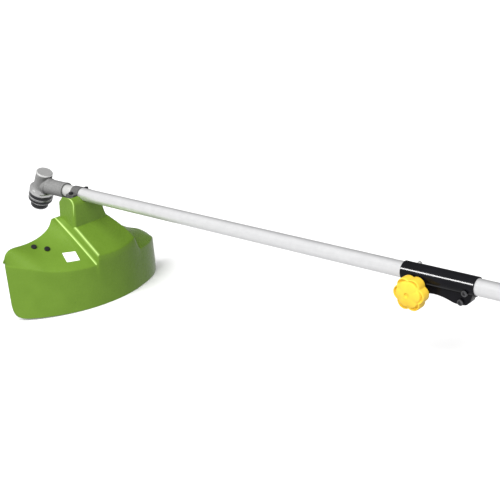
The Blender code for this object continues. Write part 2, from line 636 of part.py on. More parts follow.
def swept_tube(name, points, radius, paint, parent, resolution=3):
    """A tube along a path, made from a bevelled curve with filled caps."""
    line = bpy.data.curves.new(name, "CURVE")
    line.dimensions = "3D"
    line.bevel_depth = radius * MM
    line.bevel_resolution = resolution
    line.use_fill_caps = True
    spline = line.splines.new("POLY")
    spline.points.add(len(points) - 1)
    for point, place in zip(spline.points, points):
        point.co = (*(Vector(place) * MM), 1)
    guide = bpy.data.objects.new(name + "_path", line)
    bpy.context.collection.objects.link(guide)
    mesh = bpy.data.meshes.new_from_object(guide)
    bpy.data.objects.remove(guide)
    bm = bmesh.new()
    bm.from_mesh(mesh)
    bmesh.ops.scale(bm, vec=(1 / MM,) * 3, verts=bm.verts)
    return finish(name, bm, paint, parent)


def loop_path():
    """The handle's closed bow, seen along the shaft: a wide top and sides drawn in to the base."""
    half, top, corner = 66.0, 150.0, 34.0
    left = [(-10, 44), (-24, 46), (-42, 54), (-56, 70), (-64, 90)]
    round_left = arc((-half + corner, top - corner), corner, 180, 90, 6)
    flat = [(0, top)]
    right = [(-y, z) for y, z in reversed(left)]
    round_right = [(-y, z) for y, z in reversed(round_left)]
    lean = 0.18
    outline = left + round_left + flat + round_right + right
    return [((z - HANDLE_PIVOT_Z) * lean, y, z - HANDLE_PIVOT_Z) for y, z in outline]


def handle(upper, tilt):
    """A loop handle that tilts on a bolt above its clamp."""
    clamp = along_shaft("handle_clamp", rod(18, HANDLE_X - 15, HANDLE_X + 15, 24, 1.0), "black_plastic",
                        upper)
    lug = slab([(-12, -18), (12, -18), *arc((0, 0), 8, 0, 180, 10)], -6.5, 6.5)
    combine(clamp, finish("clamp_lug", lug, None, tilt), "UNION")
    combine(clamp, along_shaft("clamp_tube_hole", rod(TUBE_R + GAP, HANDLE_X - 30, HANDLE_X + 30, 24),
                               None, upper))
    bolt_hole = finish("handle_bolt_hole", rod(3.4, -30, 30, 16), None, tilt, turn=(90, 0, 0))
    combine(clamp, bolt_hole)
    loop = swept_tube("loop_handle", loop_path(), 10.0, "rubber_grip", tilt, 2)
    cheeks = slab([*arc((0, 0), 8, 180, 360, 10), (12, 14), (14, 26), (-8, 26), (-9, 14)], -15, 15, 1.5)
    combine(loop, finish("handle_base", cheeks, None, tilt), "UNION")
    between_cheeks = slab([(-20, -12), (20, -12), (20, 0), *arc((0, 0), 9.4, 0, 180, 10), (-20, 0)],
                          -7, 7)
    combine(loop, finish("handle_slot", between_cheeks, None, tilt))
    combine(loop, bolt_hole)
    bolt = turned([(0, -19.5), (5.5, -19.5), (5.5, -15.5), (3, -15.5), (3, 15.5), (5.8, 15.5),
                   (6.6, 16.5), (6.6, 21), (5.8, 22), (0, 22)], 20)
    finish("handle_bolt", bolt, "black_screw", tilt, turn=(90, 0, 0))


def harness_point(upper, swing):
    """The clamp that carries the harness ring, and the ring hanging in its eye."""
    clamp = along_shaft("harness_clamp", rod(17, RING_X - 9, RING_X + 9, 24, 0.8), "black_plastic", upper)
    eye = box((-2.5, -8, -8), (2.5, 8, 8), 1.0, 1)
    combine(clamp, finish("harness_eye", eye, None, swing), "UNION")
    combine(clamp, along_shaft("harness_tube_hole", rod(TUBE_R + GAP, RING_X - 20, RING_X + 20, 24),
                               None, upper))
    combine(clamp, finish("eye_hole", rod(4.4, -10, 10, 20), None, swing, turn=(0, 90, 0)))
    screw_hole = finish("harness_screw_hole", rod(2.4, 13, 24, 12), None, upper, at=(RING_X, 0, 0))
    combine(clamp, screw_hole)
    screw = turned([(0, 13.4), (2, 13.4), (2, 17.3), (4, 17.3), (4, 19.6), (3.2, 20.2), (0, 20.2)], 14)
    finish("harness_screw", screw, "bright_steel", upper, at=(RING_X, 0, 0))
    ring = bmesh.new()
    circle = bmesh.ops.create_circle(ring, segments=8, radius=2.2,
                                     matrix=Matrix.Translation((RING_R, 0, 0))
                                     @ Matrix.Rotation(radians(90), 4, "X"))
    edges = list({edge for vert in circle["verts"] for edge in vert.link_edges})
    bmesh.ops.spin(ring, geom=circle["verts"] + edges, cent=(0, 0, 0), axis=(0, 0, 1), angle=tau,
                   steps=24, use_merge=True)
    finish("harness_ring", ring, "bright_steel", swing, at=(0, 0, -RING_R), turn=(90, 0, 0))


# Motor unit

def housing_profile():
    """The housing's outline as (radius, distance along the shaft), from the neck to the tail."""
    return [(17.5, 1440), (20, 1444), (21, 1452), (21, 1590), (24, 1602), (34, 1616), (46, 1628),
            (50.5, 1638), (MOTOR_R, 1652), (MOTOR_R, 1766), (50, 1782), (44, 1800), (36, 1810),
            (24, 1815)]


def housing_half(upper, side, name):
    """One shell of the housing, with a neck for the tube, bearing walls, vents and half the foot."""
    inner = [(13.3, 1440), (13.3, 1491), (18, 1494), (18, 1592), (13.3, 1596), (13.3, 1613), (30, 1618),
             (42, 1630), (49, 1652), (49, 1760), (13.3, 1762), (13.3, 1774), (46.5, 1776),
             (44, 1788), (38, 1802), (24, 1811)]
    shell = along_shaft(name, turned(housing_profile() + inner[::-1], 24), "housing_green", upper)
    foot = box((-45, -30, 0), (45, 30, 26), 3.0, 2)
    combine(shell, finish("foot", foot, None, upper, at=(FOOT[0], 0, FOOT[1]), turn=(0, -PITCH, 0)),
            "UNION")
    hollow = along_shaft("motor_space", rod(49, 1652.5, 1759.5, 28), None, upper)
    combine(shell, hollow)
    half = box((1420, -90 if side > 0 else -GAP / 2, -90), (1840, GAP / 2 if side > 0 else 90, 90))
    combine(shell, finish("other_half", half, None, upper))
    for x in range(1684, 1752, 13):
        for z in (-2, 21):
            vent = box((x - 2.4, 0, z - 9), (x + 2.4, side * 70, z + 9))
            combine(shell, finish("vent", vent, None, upper))
    mouth = box((1506, -6.3, -30), (1590, 6.3, -9))
    combine(shell, finish("trigger_slot", mouth, None, upper))
    top = box((LOCK_OFF_X - 9.5, -5.3, 10), (LOCK_OFF_X + 9.5, 5.3, 30))
    combine(shell, finish("lock_off_slot", top, None, upper))
    axle_hole = rod(AXLE_R + GAP, -AXLE_HALF - GAP, AXLE_HALF + GAP, 16)
    combine(shell, finish("axle_hole", axle_hole, None, upper,
                          at=(TRIGGER_PIVOT[0], 0, TRIGGER_PIVOT[1]), turn=(90, 0, 0)))
    for place in HOUSING_SCREWS:
        hole = turned([(0, -16), (2.1, -16), (2.1, 7), (4, 7), (4, 60), (0, 60)], 14)
        combine(shell, finish("housing_screw_hole", hole, None, upper, at=place, turn=(90, 0, 0)))


def housing(upper):
    for side, name in ((-1, "housing_left"), (1, "housing_right")):
        housing_half(upper, side, name)


def motor(upper, rotor):
    stator = along_shaft("motor_stator", rod(48.4, 1660, 1712, 8), "core_steel", upper)
    combine(stator, along_shaft("stator_bore", rod(28.4, 1650, 1720, 24), None, upper))
    for name, low, high in (("motor_front_bearing", 1600, 1610), ("motor_rear_bearing", 1763, 1773)):
        along_shaft(name, pipe(13.0, SHAFT_R + GAP, low, high, 20), "bright_steel", upper)
    core = turned([(0, 1598), (SHAFT_R, 1598), (SHAFT_R, 1652), (20, 1654), (24, 1660), (27, 1660),
                   (27, 1712), (24, 1712), (20, 1720), (SHAFT_R, 1722), (SHAFT_R, 1778), (0, 1778)], 20)
    along_shaft("armature", core, "copper_winding", rotor)
    along_shaft("commutator", pipe(12, SHAFT_R + GAP, 1727, 1748, 16), "brass", rotor)
    fan = along_shaft("cooling_fan", pipe(14, SHAFT_R + GAP, 1632, 1646, 16), "black_plastic", rotor)
    blades = 8
    for blade in range(blades):
        vane = finish("fan_vane", box((1633, -1.2, 12), (1645, 1.2, 38)), None, rotor,
                      turn=(360 * blade / blades + 22.5, 0, 0))
        combine(fan, vane, "UNION")
    for name, side in (("brush_left", -1), ("brush_right", 1)):
        low, high = sorted((side * 12.4, side * 34))
        finish(name, box((1733, low, -4), (1742, high, 4), 0.8, 1), "carbon", upper)


def trigger_set(upper, trigger_frame, lock_frame):
    outline = [*arc((0, 0), 6, 80, -60, 6), (-6, -13), (-30, -19), (-52, -22), (-60, -23.5), (-66, -20),
               (-67, -15), (-64, -12), (-44, -11), (-24, -8.5), (-8, 1)]
    trigger = finish("trigger", slab(outline, -5.6, 5.6, 1.2), "black_plastic", trigger_frame)
    axle = finish("trigger_axle", rod(AXLE_R, -AXLE_HALF, AXLE_HALF, 16), None, trigger_frame,
                  turn=(90, 0, 0))
    combine(trigger, axle, "UNION")
    finish("switch_block", box((1522, -8, -15.2), (1552, 8, -6), 0.8, 1), "black_plastic", upper)
    finish("trigger_spring", rod(2.4, -22.9, -15.6, 12), "spring_steel", upper, at=(1530, 0, 0))
    cap = box((-8.6, -4.4, 12), (8.6, 4.4, 24.6), 1.6, 2)
    finish("lock_off_button", cap, "knob_yellow", lock_frame)


def inlet(upper):
    """The recessed mains inlet in the tail, with two pins."""
    body = finish("mains_inlet", rod(23.6, 1796, 1818, 24, 1.0), "black_plastic", upper, turn=(0, 90, 0))
    combine(body, finish("inlet_recess", box((1801, -13, -9), (1830, 13, 9), 2.0, 2), None, upper))
    for side in (-1, 1):
        pin = rod(2.0, 1799, 1811, 12)
        combine(body, finish("inlet_pin", pin, None, upper, at=(0, side * 6, 0), turn=(0, 90, 0)), "UNION")
    for name, place in zip(("housing_screw_front", "housing_screw_rear"), HOUSING_SCREWS):
        screw = turned([(0, -15), (1.8, -15), (1.8, 7.3), (3.6, 7.3), (3.6, 9.4), (2.8, 10), (0, 10)], 14)
        finish(name, screw, "black_screw", upper, at=place, turn=(90, 0, 0))


def stand_on_floor(machine):
    """Moves the whole machine so that its box stands on the floor with the origin at its middle."""
    bpy.context.view_layer.update()
    graph = bpy.context.evaluated_depsgraph_get()
    corners = []
    for thing in bpy.data.objects:
        if thing.type != "MESH" or thing.hide_render:
            continue
        solid = thing.evaluated_get(graph)
        corners += [solid.matrix_world @ vert.co for vert in solid.to_mesh().vertices]
        solid.to_mesh_clear()
    places = np.array(corners)
    low, high = places.min(axis=0), places.max(axis=0)
    middle = (low + high) / 2
    machine.location = (-middle[0], -middle[1], -low[2])
    print("size in mm", np.round((high - low) / MM, 2))
    print("machine placed at mm", np.round(np.array(machine.location) / MM, 3), "pitch", round(PITCH, 4))


def build():
    machine = empty("machine", turn=(0, PITCH, 0))
    lower = empty("lower_unit", machine)
    upper = empty("upper_unit", machine)
    gear = empty("spindle_axis", lower, turn=(0, SPINDLE_LEAN, 0))
    shaft = empty("lower_shaft_axis", lower)
    rotor = empty("motor_axis", upper)
    button = empty("button_axis", lower, at=(BUTTON_X, 0, 0), turn=(-BUTTON_TURN, 0, 0))
    wing = wing_frame(lower)
    gear_case(lower, gear)
    gear_cap(gear)
    grease_screw(lower)
    bevel_gears(gear, shaft)
    gear_head_bearings(lower, gear)
    spindle_set(gear)
    tubes(lower, upper, button)
    drive_shafts(shaft, rotor)
    pilot = guard_bracket(lower)
    guard(lower, pilot, wing)
    line_cutter(wing)
    coupler(upper, button)
    clamp_axis = empty("clamp_axis", upper, at=(KNOB_X, 0, KNOB_Z), turn=(90, 0, 0))
    knob(clamp_axis, clamp_axis)
    detent_button(button)
    handle(upper, empty("handle_axis", upper, at=(HANDLE_X, 0, HANDLE_PIVOT_Z)))
    harness_point(upper, empty("ring_axis", upper, at=(RING_X, 0, RING_PIVOT_Z)))
    housing(upper)
    motor(upper, rotor)
    trigger_frame = empty("trigger_axis", upper, at=(TRIGGER_PIVOT[0], 0, TRIGGER_PIVOT[1]))
    trigger_set(upper, trigger_frame, empty("lock_off_axis", upper, at=(LOCK_OFF_X, 0, 0)))
    inlet(upper)
    stand_on_floor(machine)


clear_scene()
PAINT = make_paints()
build()
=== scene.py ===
# %% [markdown]
# # A brush cutter for the picture
#
# An electric brush cutter lies on a pale floor: a cast gear head with its flanges, a moulded green
# guard, a silver tube and a black coupler with a yellow knob, and further back a loop handle, a strap
# ring and the motor unit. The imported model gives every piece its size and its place. This script gives
# each piece its surface, and rebuilds the moulded and cast ones with the finer forms that show.

import json
from math import asin, atan2, cos, degrees, pi, radians, sin, sqrt, tau

import bmesh
import bpy
from mathutils import Matrix, Vector
from mathutils.bvhtree import BVHTree
from mathutils.kdtree import KDTree


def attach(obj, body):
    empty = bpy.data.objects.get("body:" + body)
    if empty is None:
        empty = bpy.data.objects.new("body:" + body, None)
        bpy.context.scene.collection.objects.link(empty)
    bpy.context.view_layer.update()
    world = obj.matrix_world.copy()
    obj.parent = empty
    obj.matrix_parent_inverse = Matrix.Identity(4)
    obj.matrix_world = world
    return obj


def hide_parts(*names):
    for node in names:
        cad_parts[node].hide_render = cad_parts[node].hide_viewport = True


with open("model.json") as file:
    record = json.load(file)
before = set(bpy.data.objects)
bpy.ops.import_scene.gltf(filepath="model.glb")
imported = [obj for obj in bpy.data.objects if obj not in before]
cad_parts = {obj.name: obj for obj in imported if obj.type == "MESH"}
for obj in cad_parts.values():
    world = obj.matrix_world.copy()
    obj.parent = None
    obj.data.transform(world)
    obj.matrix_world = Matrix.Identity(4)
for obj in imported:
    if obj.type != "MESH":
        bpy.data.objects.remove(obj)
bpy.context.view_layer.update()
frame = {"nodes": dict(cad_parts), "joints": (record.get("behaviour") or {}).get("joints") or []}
nodes = frame["nodes"]
joints = {joint["name"]: joint for joint in frame["joints"]}

# %% [markdown]
# ## One frame for the whole machine
#
# Everything on the machine lines up with its shaft, which leans a little because the machine rests on
# its guard and its motor foot. It could be worked out from angles, but two joints already say it: the
# motor's joint turns about the shaft, and the spindle's joint sits where its axis crosses the shaft.
# So lengths can be written in millimetres along the shaft, across it and up from it.

# %% Frames of the shaft and of the gear head
MM = 0.001
along = Vector(joints["motor_spin"]["axis"])
across = Vector((0, 1, 0))
LEAN = asin(along.z)
TOOL = Matrix((along, across, along.cross(across))).transposed().to_4x4()
TOOL.translation = Vector(joints["spindle_spin"]["pos_m"])
TOOL = TOOL @ Matrix.Scale(MM, 4)
# turns inside that frame: Z to the shaft, to the near side and to the spindle's axis
ALONG_SHAFT = Matrix.Rotation(radians(90), 4, "Y")
SIDEWAYS = Matrix.Rotation(radians(90), 4, "X")
TO_SPINDLE = Matrix.Rotation(radians(25.5), 4, "Y")
GEAR = TOOL @ TO_SPINDLE
print("shaft leans", round(degrees(-LEAN), 2), "degrees")

# %% [markdown]
# ## The camera
#
# The photograph looks down on the near side, from a metre and a half off the coupler and two metres off
# the guard, with a longish lens. The place and the angles come from fitting a pinhole camera to the tube,
# the rim of the guard and the round faces of the gear head. They are written in the shaft's frame.

# %% Camera at the photograph's angle
AZIMUTH, ELEVATION, ROLL = radians(43.81), radians(20.56), radians(-4.63)
STATION = Vector((1709, -1170, 577))
# millimetres, and the picture's width in pixels
LENS, SENSOR, PICTURE = 72, 36, 500
back = Vector((sin(AZIMUTH) * cos(ELEVATION), -cos(AZIMUTH) * cos(ELEVATION), sin(ELEVATION)))
level = Vector((cos(AZIMUTH), sin(AZIMUTH), 0))
rise = back.cross(level)
right = level * cos(ROLL) + rise * sin(ROLL)
up = rise * cos(ROLL) - level * sin(ROLL)
turn = TOOL.to_3x3().normalized() @ Matrix((right, up, back)).transposed()


def linked(name, data):
    """An object in the scene."""
    made = bpy.data.objects.new(name, data)
    bpy.context.collection.objects.link(made)
    return made


camera = linked("camera", bpy.data.cameras.new("camera"))
camera.matrix_world = Matrix.Translation(TOOL @ STATION) @ turn.to_4x4()
camera.data.lens = LENS
camera.data.sensor_width = SENSOR
camera.data.clip_end = 60
bpy.context.scene.camera = camera


def ray_through(x, y):
    """Where the camera is and which way it looks through a point of the picture."""
    middle, depth = PICTURE / 2, PICTURE * LENS / SENSOR
    view = Vector(((x - middle) / depth, (middle - y) / depth, -1))
    return camera.matrix_world.translation.copy(), (turn @ view).normalized()


print("camera at", [round(value, 3) for value in camera.matrix_world.translation])

# %% [markdown]
# ## Light and floor
#
# The photograph is lit from the knob's side: what faces the camera's left is bright, the far wing and
# the faces towards the motor are darker, and the floor is white. One broad sun from that side gives the
# main light and an even floor at any distance, where a lamp would leave a bright pool. Its own image is
# kept out of reflections, because a wide white patch on every rounded form would hide the colour. A
# weak narrow sun from the same side gives small soft glints. One long panel, linked to the coupler alone
# and seen in reflections only, draws the bright line along its sleeve; on the guard it would glare. The
# sky, bright on one side and dim on the other, fills the rest. The floor is seen by the camera only: its
# bounce would wash out the undersides, so the sky has a grey of its own for them under the horizon.

# %% Sky, lamps and colour response
SKY_BRIGHT, SKY_DIM, DIM_FROM, UNDER_HORIZON, SKY_STRENGTH = 1.3, 0.34, 0.6, 1.5, 0.5
HORIZON_BLUR = 0.05
# sockets of a Mix node that mixes colours
FIRST_COLOUR, SECOND_COLOUR, MIXED_COLOUR = 6, 7, 2
scene = bpy.context.scene
scene.view_settings.view_transform = "Standard"
sky = bpy.data.worlds.new("studio_room")
sky.use_nodes = True
sky_nodes = sky.node_tree.nodes
direction = sky_nodes.new("ShaderNodeTexCoord")
axes = sky_nodes.new("ShaderNodeSeparateXYZ")
shade = sky_nodes.new("ShaderNodeValToRGB")
below = sky_nodes.new("ShaderNodeMapRange")
halves = sky_nodes.new("ShaderNodeMix")
halves.data_type = "RGBA"
halves.inputs[SECOND_COLOUR].default_value = (UNDER_HORIZON, UNDER_HORIZON, UNDER_HORIZON, 1)
below.inputs["From Min"].default_value = HORIZON_BLUR
below.inputs["From Max"].default_value = -HORIZON_BLUR
sky.node_tree.links.new(direction.outputs["Generated"], axes.inputs[0])
sky.node_tree.links.new(axes.outputs["Y"], shade.inputs["Fac"])
sky.node_tree.links.new(axes.outputs["Z"], below.inputs["Value"])
sky.node_tree.links.new(below.outputs["Result"], halves.inputs[0])
sky.node_tree.links.new(shade.outputs["Color"], halves.inputs[FIRST_COLOUR])
sky.node_tree.links.new(halves.outputs[MIXED_COLOUR], sky_nodes["Background"].inputs["Color"])
for element, (place, grey) in zip(shade.color_ramp.elements, ((0.0, SKY_BRIGHT), (DIM_FROM, SKY_DIM))):
    element.position = place
    element.color = (grey, grey, grey, 1)
sky_nodes["Background"].inputs["Strength"].default_value = SKY_STRENGTH
scene.world = sky


def lamp(name, kind, place, target, size, power, height=None, mirrored=True, lights=True):
    """A panel or a sun at a place in the shaft's frame, looking at a target. A sun's size is its angle."""
    data = bpy.data.lights.new(name, kind)
    if kind == "SUN":
        data.angle = size
    else:
        data.size = size
    if height:
        data.shape = "RECTANGLE"
        data.size_y = height
    data.energy = power
    made = linked(name, data)
    made.visible_glossy = mirrored
    made.visible_diffuse = lights
    start, end = TOOL @ Vector(place), TOOL @ Vector(target)
    made.location = start
    made.rotation_euler = (end - start).to_track_quat("-Z", "X").to_euler()
    return made


lamp("broad_sun", "SUN", (600, -1400, 1650), (0, 0, 0), radians(64), 4.9, mirrored=False)
lamp("narrow_sun", "SUN", (-300, -1500, 1700), (0, 0, 0), radians(20), 0.07)
low_panel = lamp("low_panel", "AREA", (160, -990, 690), (160, 0, 0), size=0.24, power=64, height=0.75,
                 lights=False)

# %% Pale floor
FLOOR_HALF, FLOOR_UNDER = 400, 0.0002
sheet = bmesh.new()
bmesh.ops.create_grid(sheet, x_segments=1, y_segments=1, size=FLOOR_HALF)
bmesh.ops.translate(sheet, vec=(0, 0, -FLOOR_UNDER), verts=sheet.verts)
floor_mesh = bpy.data.meshes.new("floor")
sheet.to_mesh(floor_mesh)
sheet.free()
floor = linked("floor", floor_mesh)
floor.visible_diffuse = False
floor.visible_glossy = False

# %% [markdown]
# ## Shader maths as plain sums
#
# A material is a small network of nodes. Wiring it by hand is slow to read, so a class stands for one
# output of a node, and adding or multiplying two of them adds the Math node that does it. A second class
# holds one material and adds any other node from its type, its settings and what its sockets get.

# %% Two small classes for materials
class Signal:
    """One output of a material's node."""

    def __init__(self, finish, socket):
        self.finish = finish
        self.socket = socket

    def __add__(self, other):
        return self.finish.maths("ADD", self, other)

    def __radd__(self, other):
        return self.finish.maths("ADD", other, self)

    def __rsub__(self, other):
        return self.finish.maths("SUBTRACT", other, self)

    def __mul__(self, other):
        return self.finish.maths("MULTIPLY", self, other)


class Finish:
    """One material, with its Principled shader."""

    def __init__(self, name, roughness, metallic=0.0):
        self.material = bpy.data.materials.new(name)
        self.material.use_nodes = True
        self.tree = self.material.node_tree
        self.shader = self.tree.nodes["Principled BSDF"]
        self.set(Roughness=roughness, Metallic=metallic)

    def add(self, kind, settings=None, sockets=None, output=0):
        node = self.tree.nodes.new(kind)
        for name, value in (settings or {}).items():
            setattr(node, name, value)
        for socket, value in (sockets or {}).items():
            self.feed(node.inputs[socket], value)
        return Signal(self, node.outputs[output])

    def maths(self, operation, *values):
        return self.add("ShaderNodeMath", {"operation": operation}, dict(enumerate(values)))

    def feed(self, socket, value):
        if isinstance(value, Signal):
            self.tree.links.new(value.socket, socket)
        else:
            socket.default_value = value

    def set(self, **sockets):
        for name, value in sockets.items():
            self.feed(self.shader.inputs[name.replace("_", " ")], value)

    def fed(self, name):
        """What a socket of the shader gets so far."""
        return Signal(self, self.shader.inputs[name].links[0].from_socket)

    def place(self, stretch=(1, 1, 1), turned=(0, 0, 0)):
        """The object's own coordinates in metres, stretched along the shaft's frame."""
        coordinates = self.add("ShaderNodeTexCoord", output="Object")
        return self.add("ShaderNodeMapping", {}, {"Vector": coordinates, "Scale": stretch,
                                                  "Rotation": turned})

    def cloud(self, where, scale, detail=3.0, roughness=0.5):
        """Soft noise between 0 and 1, with that many patches to a metre."""
        return self.add("ShaderNodeTexNoise", {}, {"Vector": where, "Scale": scale, "Detail": detail,
                                                   "Roughness": roughness})

    def facing(self, axis, faceted=False):
        """How much the surface faces along an axis, from -1 to 1."""
        normal = self.add("ShaderNodeNewGeometry", output="True Normal" if faceted else "Normal")
        return self.add("ShaderNodeVectorMath", {"operation": "DOT_PRODUCT"},
                        {0: normal, 1: Vector(axis).normalized()}, output="Value")

    def ramp(self, factor, low, high):
        """0 under the low value, 1 over the high one."""
        return self.add("ShaderNodeMapRange", {}, {"Value": factor, "From Min": low, "From Max": high})

    def mix(self, factor, first, second):
        """A colour between two, given as (red, green, blue) or as signals."""
        ends = [value if isinstance(value, Signal) else (*value, 1) for value in (first, second)]
        return self.add("ShaderNodeMix", {"data_type": "RGBA"},
                        {0: factor, FIRST_COLOUR: ends[0], SECOND_COLOUR: ends[1]}, output=MIXED_COLOUR)

    def bump(self, height, distance):
        self.set(Normal=self.add("ShaderNodeBump", {}, {"Height": height, "Distance": distance}))


floor_finish = Finish("floor_paint", roughness=0.9)
grain = floor_finish.cloud(floor_finish.place(), 3)
floor_finish.set(Base_Color=floor_finish.mix(grain, (0.86, 0.86, 0.86), (0.88, 0.88, 0.88)))
floor_mesh.materials.append(floor_finish.material)
print("floor painted")

# %% [markdown]
# ## Moulded plastics
#
# A moulded panel isn't one flat colour. It has a faint cloudiness where the melt met, a fine skin like
# orange peel, and handling marks that dull its gloss in patches. Noise at three scales gives those: a
# few centimetres for colour, about one for gloss, and two millimetres or less for the skin. The same
# recipe serves every plastic here with other colours and other skins. The guard's plastic has one thing
# more: its mesh says where a ridge runs, and a paler colour there is a painted highlight.

# %% Plastic finishes
# patches to a metre
CLOUDS, SPECKS, MARKS = 28, 2400, 95


def plastic(name, light, dark, roughness, skin, skin_depth, marks=0.12, gleam=0.5):
    """A moulded plastic. The skin is its patches to a metre, and the skin's depth is in metres."""
    made = Finish(name, roughness)
    made.set(Specular_IOR_Level=gleam)
    where = made.place()
    cloudy = made.cloud(where, CLOUDS, 2)
    speck = made.cloud(where, SPECKS, 1)
    made.set(Base_Color=made.mix(made.ramp(cloudy * 0.8 + speck * 0.2, 0.3, 0.7), dark, light))
    handled = made.ramp(made.cloud(where, MARKS, 5, 0.65), 0.45, 0.75)
    made.set(Roughness=roughness + handled * marks)
    made.bump(made.cloud(where, skin, 2), skin_depth)
    return made


# painted highlight: a paler green mixed in where the guard's mesh marks its ridges
RIDGE_HIGHLIGHT_COLOUR = (0.42, 0.6, 0.18)
guard_green = plastic("guard_plastic", (0.115, 0.208, 0.021), (0.101, 0.187, 0.017), 0.27, 700, 0.00003,
                      marks=0.06, gleam=0.25)
ridge_highlight = guard_green.add("ShaderNodeAttribute", {"attribute_name": "ridge_highlight"}, output="Fac")
guard_green.set(Base_Color=guard_green.mix(ridge_highlight, guard_green.fed("Base Color"), RIDGE_HIGHLIGHT_COLOUR))
housing_green = plastic("housing_plastic", (0.125, 0.225, 0.022), (0.11, 0.2, 0.018), 0.4, 1800, 0.0001,
                        gleam=0.3)
knob_yellow = plastic("knob_plastic", (0.77, 0.52, 0.05), (0.71, 0.46, 0.038), 0.4, 900, 0.00006,
                      marks=0.1, gleam=0.3)
coupler_black = plastic("coupler_black", (0.006, 0.006, 0.008), (0.003, 0.003, 0.004), 0.13, 500, 0.000004,
                        marks=0.06, gleam=0.13)
matt_black = plastic("matt_black_plastic", (0.03, 0.03, 0.032), (0.018, 0.018, 0.02), 0.5, 2600, 0.00016)
nylon = plastic("natural_nylon", (0.68, 0.65, 0.57), (0.6, 0.57, 0.48), 0.45, 1500, 0.00008)
grip_rubber = plastic("grip_rubber", (0.028, 0.028, 0.03), (0.014, 0.014, 0.015), 0.72, 1300, 0.0003)
label_paper = plastic("label_paper", (0.86, 0.86, 0.85), (0.8, 0.8, 0.79), 0.42, 2200, 0.00003)
carbon = plastic("pressed_carbon", (0.05, 0.05, 0.052), (0.02, 0.02, 0.022), 0.62, 3000, 0.0001)
print("plastics ready")

# %% [markdown]
# ## Metals
#
# The tube is drawn and anodised, so it has fine lines along its length under a satin skin. The gear
# head is a blasted casting: a fine, even grit with a few darker spots, and shade painted on the faces
# that turn down. The lathe's rings on turned parts are too fine for this distance, so an even grain
# stands for them. Each finish
# reads the object's own coordinates, turned to the shaft's lean where its lines have a direction.

# %% Metal finishes
EVEN, DRAWN, WOUND, ROLLED = (1, 1, 1), (0.02, 1, 1), (0.1, 1, 1), (1, 0.05, 1)
# patches to a metre, and the colour of the shade painted on undersides
WEAR, GRIT, SPOTS, SCRATCHES = 60, 1500, 380, 700
UNDERSIDE_SHADE = (0.05, 0.05, 0.05)


def metal(name, light, dark, roughness, stretch, scale, depth, patches=0.1, metallic=1.0):
    """A metal whose fine lines run where the stretch is small."""
    made = Finish(name, roughness, metallic)
    lined = made.place(stretch, (0, LEAN, 0))
    plain = made.place()
    lines = made.cloud(lined, scale, 3, 0.6)
    worn = made.ramp(made.cloud(plain, WEAR, 4, 0.6), 0.4, 0.75)
    made.set(Base_Color=made.mix(made.ramp(lines * 0.7 + worn * 0.3, 0.3, 0.7), dark, light))
    made.set(Roughness=roughness + lines * 0.1 + worn * patches)
    made.bump(lines, depth)
    return made


tube_silver = metal("anodised_tube", (0.86, 0.86, 0.865), (0.78, 0.78, 0.79), 0.3, DRAWN, 1400, 0.00001,
                    patches=0.05, metallic=0.72)
bright_steel = metal("turned_steel", (0.82, 0.82, 0.81), (0.62, 0.62, 0.62), 0.16, EVEN, 900, 0.00002)
spring_steel = metal("spring_steel", (0.5, 0.5, 0.52), (0.34, 0.34, 0.36), 0.3, ROLLED, 1600, 0.00002)
core_steel = metal("machined_core", (0.42, 0.42, 0.43), (0.26, 0.26, 0.27), 0.38, EVEN, 1200, 0.00003)
copper = metal("varnished_copper", (0.62, 0.26, 0.1), (0.36, 0.13, 0.05), 0.34, WOUND, 900, 0.0002)
brass = metal("turned_brass", (0.72, 0.53, 0.24), (0.55, 0.39, 0.15), 0.24, EVEN, 900, 0.00002)
oxide_black = metal("oxide_screw", (0.05, 0.05, 0.052), (0.022, 0.022, 0.024), 0.32, EVEN, 1500, 0.00003,
                    patches=0.12, metallic=0.7)
satin_steel = metal("satin_steel", (0.6, 0.6, 0.59), (0.52, 0.52, 0.51), 0.34, EVEN, 900, 0.00002,
                    metallic=0.45)
dark_steel = metal("dark_steel", (0.2, 0.2, 0.21), (0.1, 0.1, 0.105), 0.2, EVEN, 1200, 0.00002)


def casting(name, light, dark):
    """A blasted aluminium casting: fine grit, a few darker spots, and painted shade on what faces down."""
    made = Finish(name, 0.46, 0.45)
    where = made.place()
    grit = made.cloud(where, GRIT, 4, 0.7)
    spots = made.ramp(made.cloud(where, SPOTS, 3, 0.6), 0.45, 0.7)
    tint = made.mix(made.ramp(grit, 0.35, 0.65), dark, light)
    # painted shade: the colour darkens on faces that turn downwards
    shaded_underside = made.mix(made.ramp(made.facing((0.2, 0.25, -1)), -0.45, 0.75), tint, UNDERSIDE_SHADE)
    made.set(Base_Color=made.mix(spots * 0.6, shaded_underside, dark))
    made.set(Roughness=0.4 + grit * 0.16 + spots * 0.1)
    made.bump(grit * 0.7 + spots * -0.3, 0.00016)
    return made


def blackened(name, axis):
    """Blackened steel, rubbed bright where an edge is broken at a slant to the part's axis."""
    made = Finish(name, 0.12, 0.6)
    where = made.place()
    lines = made.cloud(where, SCRATCHES, 3, 0.6)
    slant = made.maths("ABSOLUTE", made.facing(axis, faceted=True))
    rubbed = made.ramp(slant, 0.2, 0.3) * made.ramp(slant, 0.96, 0.9)
    coat = made.mix(lines, (0.012, 0.012, 0.014), (0.035, 0.035, 0.038))
    made.set(Base_Color=made.mix(rubbed * (0.75 + lines * 0.25), coat, (0.8, 0.8, 0.8)))
    made.set(Roughness=0.1 + lines * 0.12 + rubbed * 0.08, Metallic=0.5 + rubbed * 0.5)
    return made


def bevelled_cap(name, axis):
    """The same casting, with the slanted rim turned bright."""
    made = casting(name, (0.5, 0.5, 0.495), (0.3, 0.3, 0.295))
    slant = made.facing(axis, faceted=True)
    turned = made.ramp(slant, 0.2, 0.3) * made.ramp(slant, 0.97, 0.93)
    made.set(Base_Color=made.mix(turned, made.fed("Base Color"), (0.9, 0.9, 0.89)))
    made.set(Roughness=made.fed("Roughness") * (1 - turned * 0.5), Metallic=0.45 + turned * 0.4)
    return made


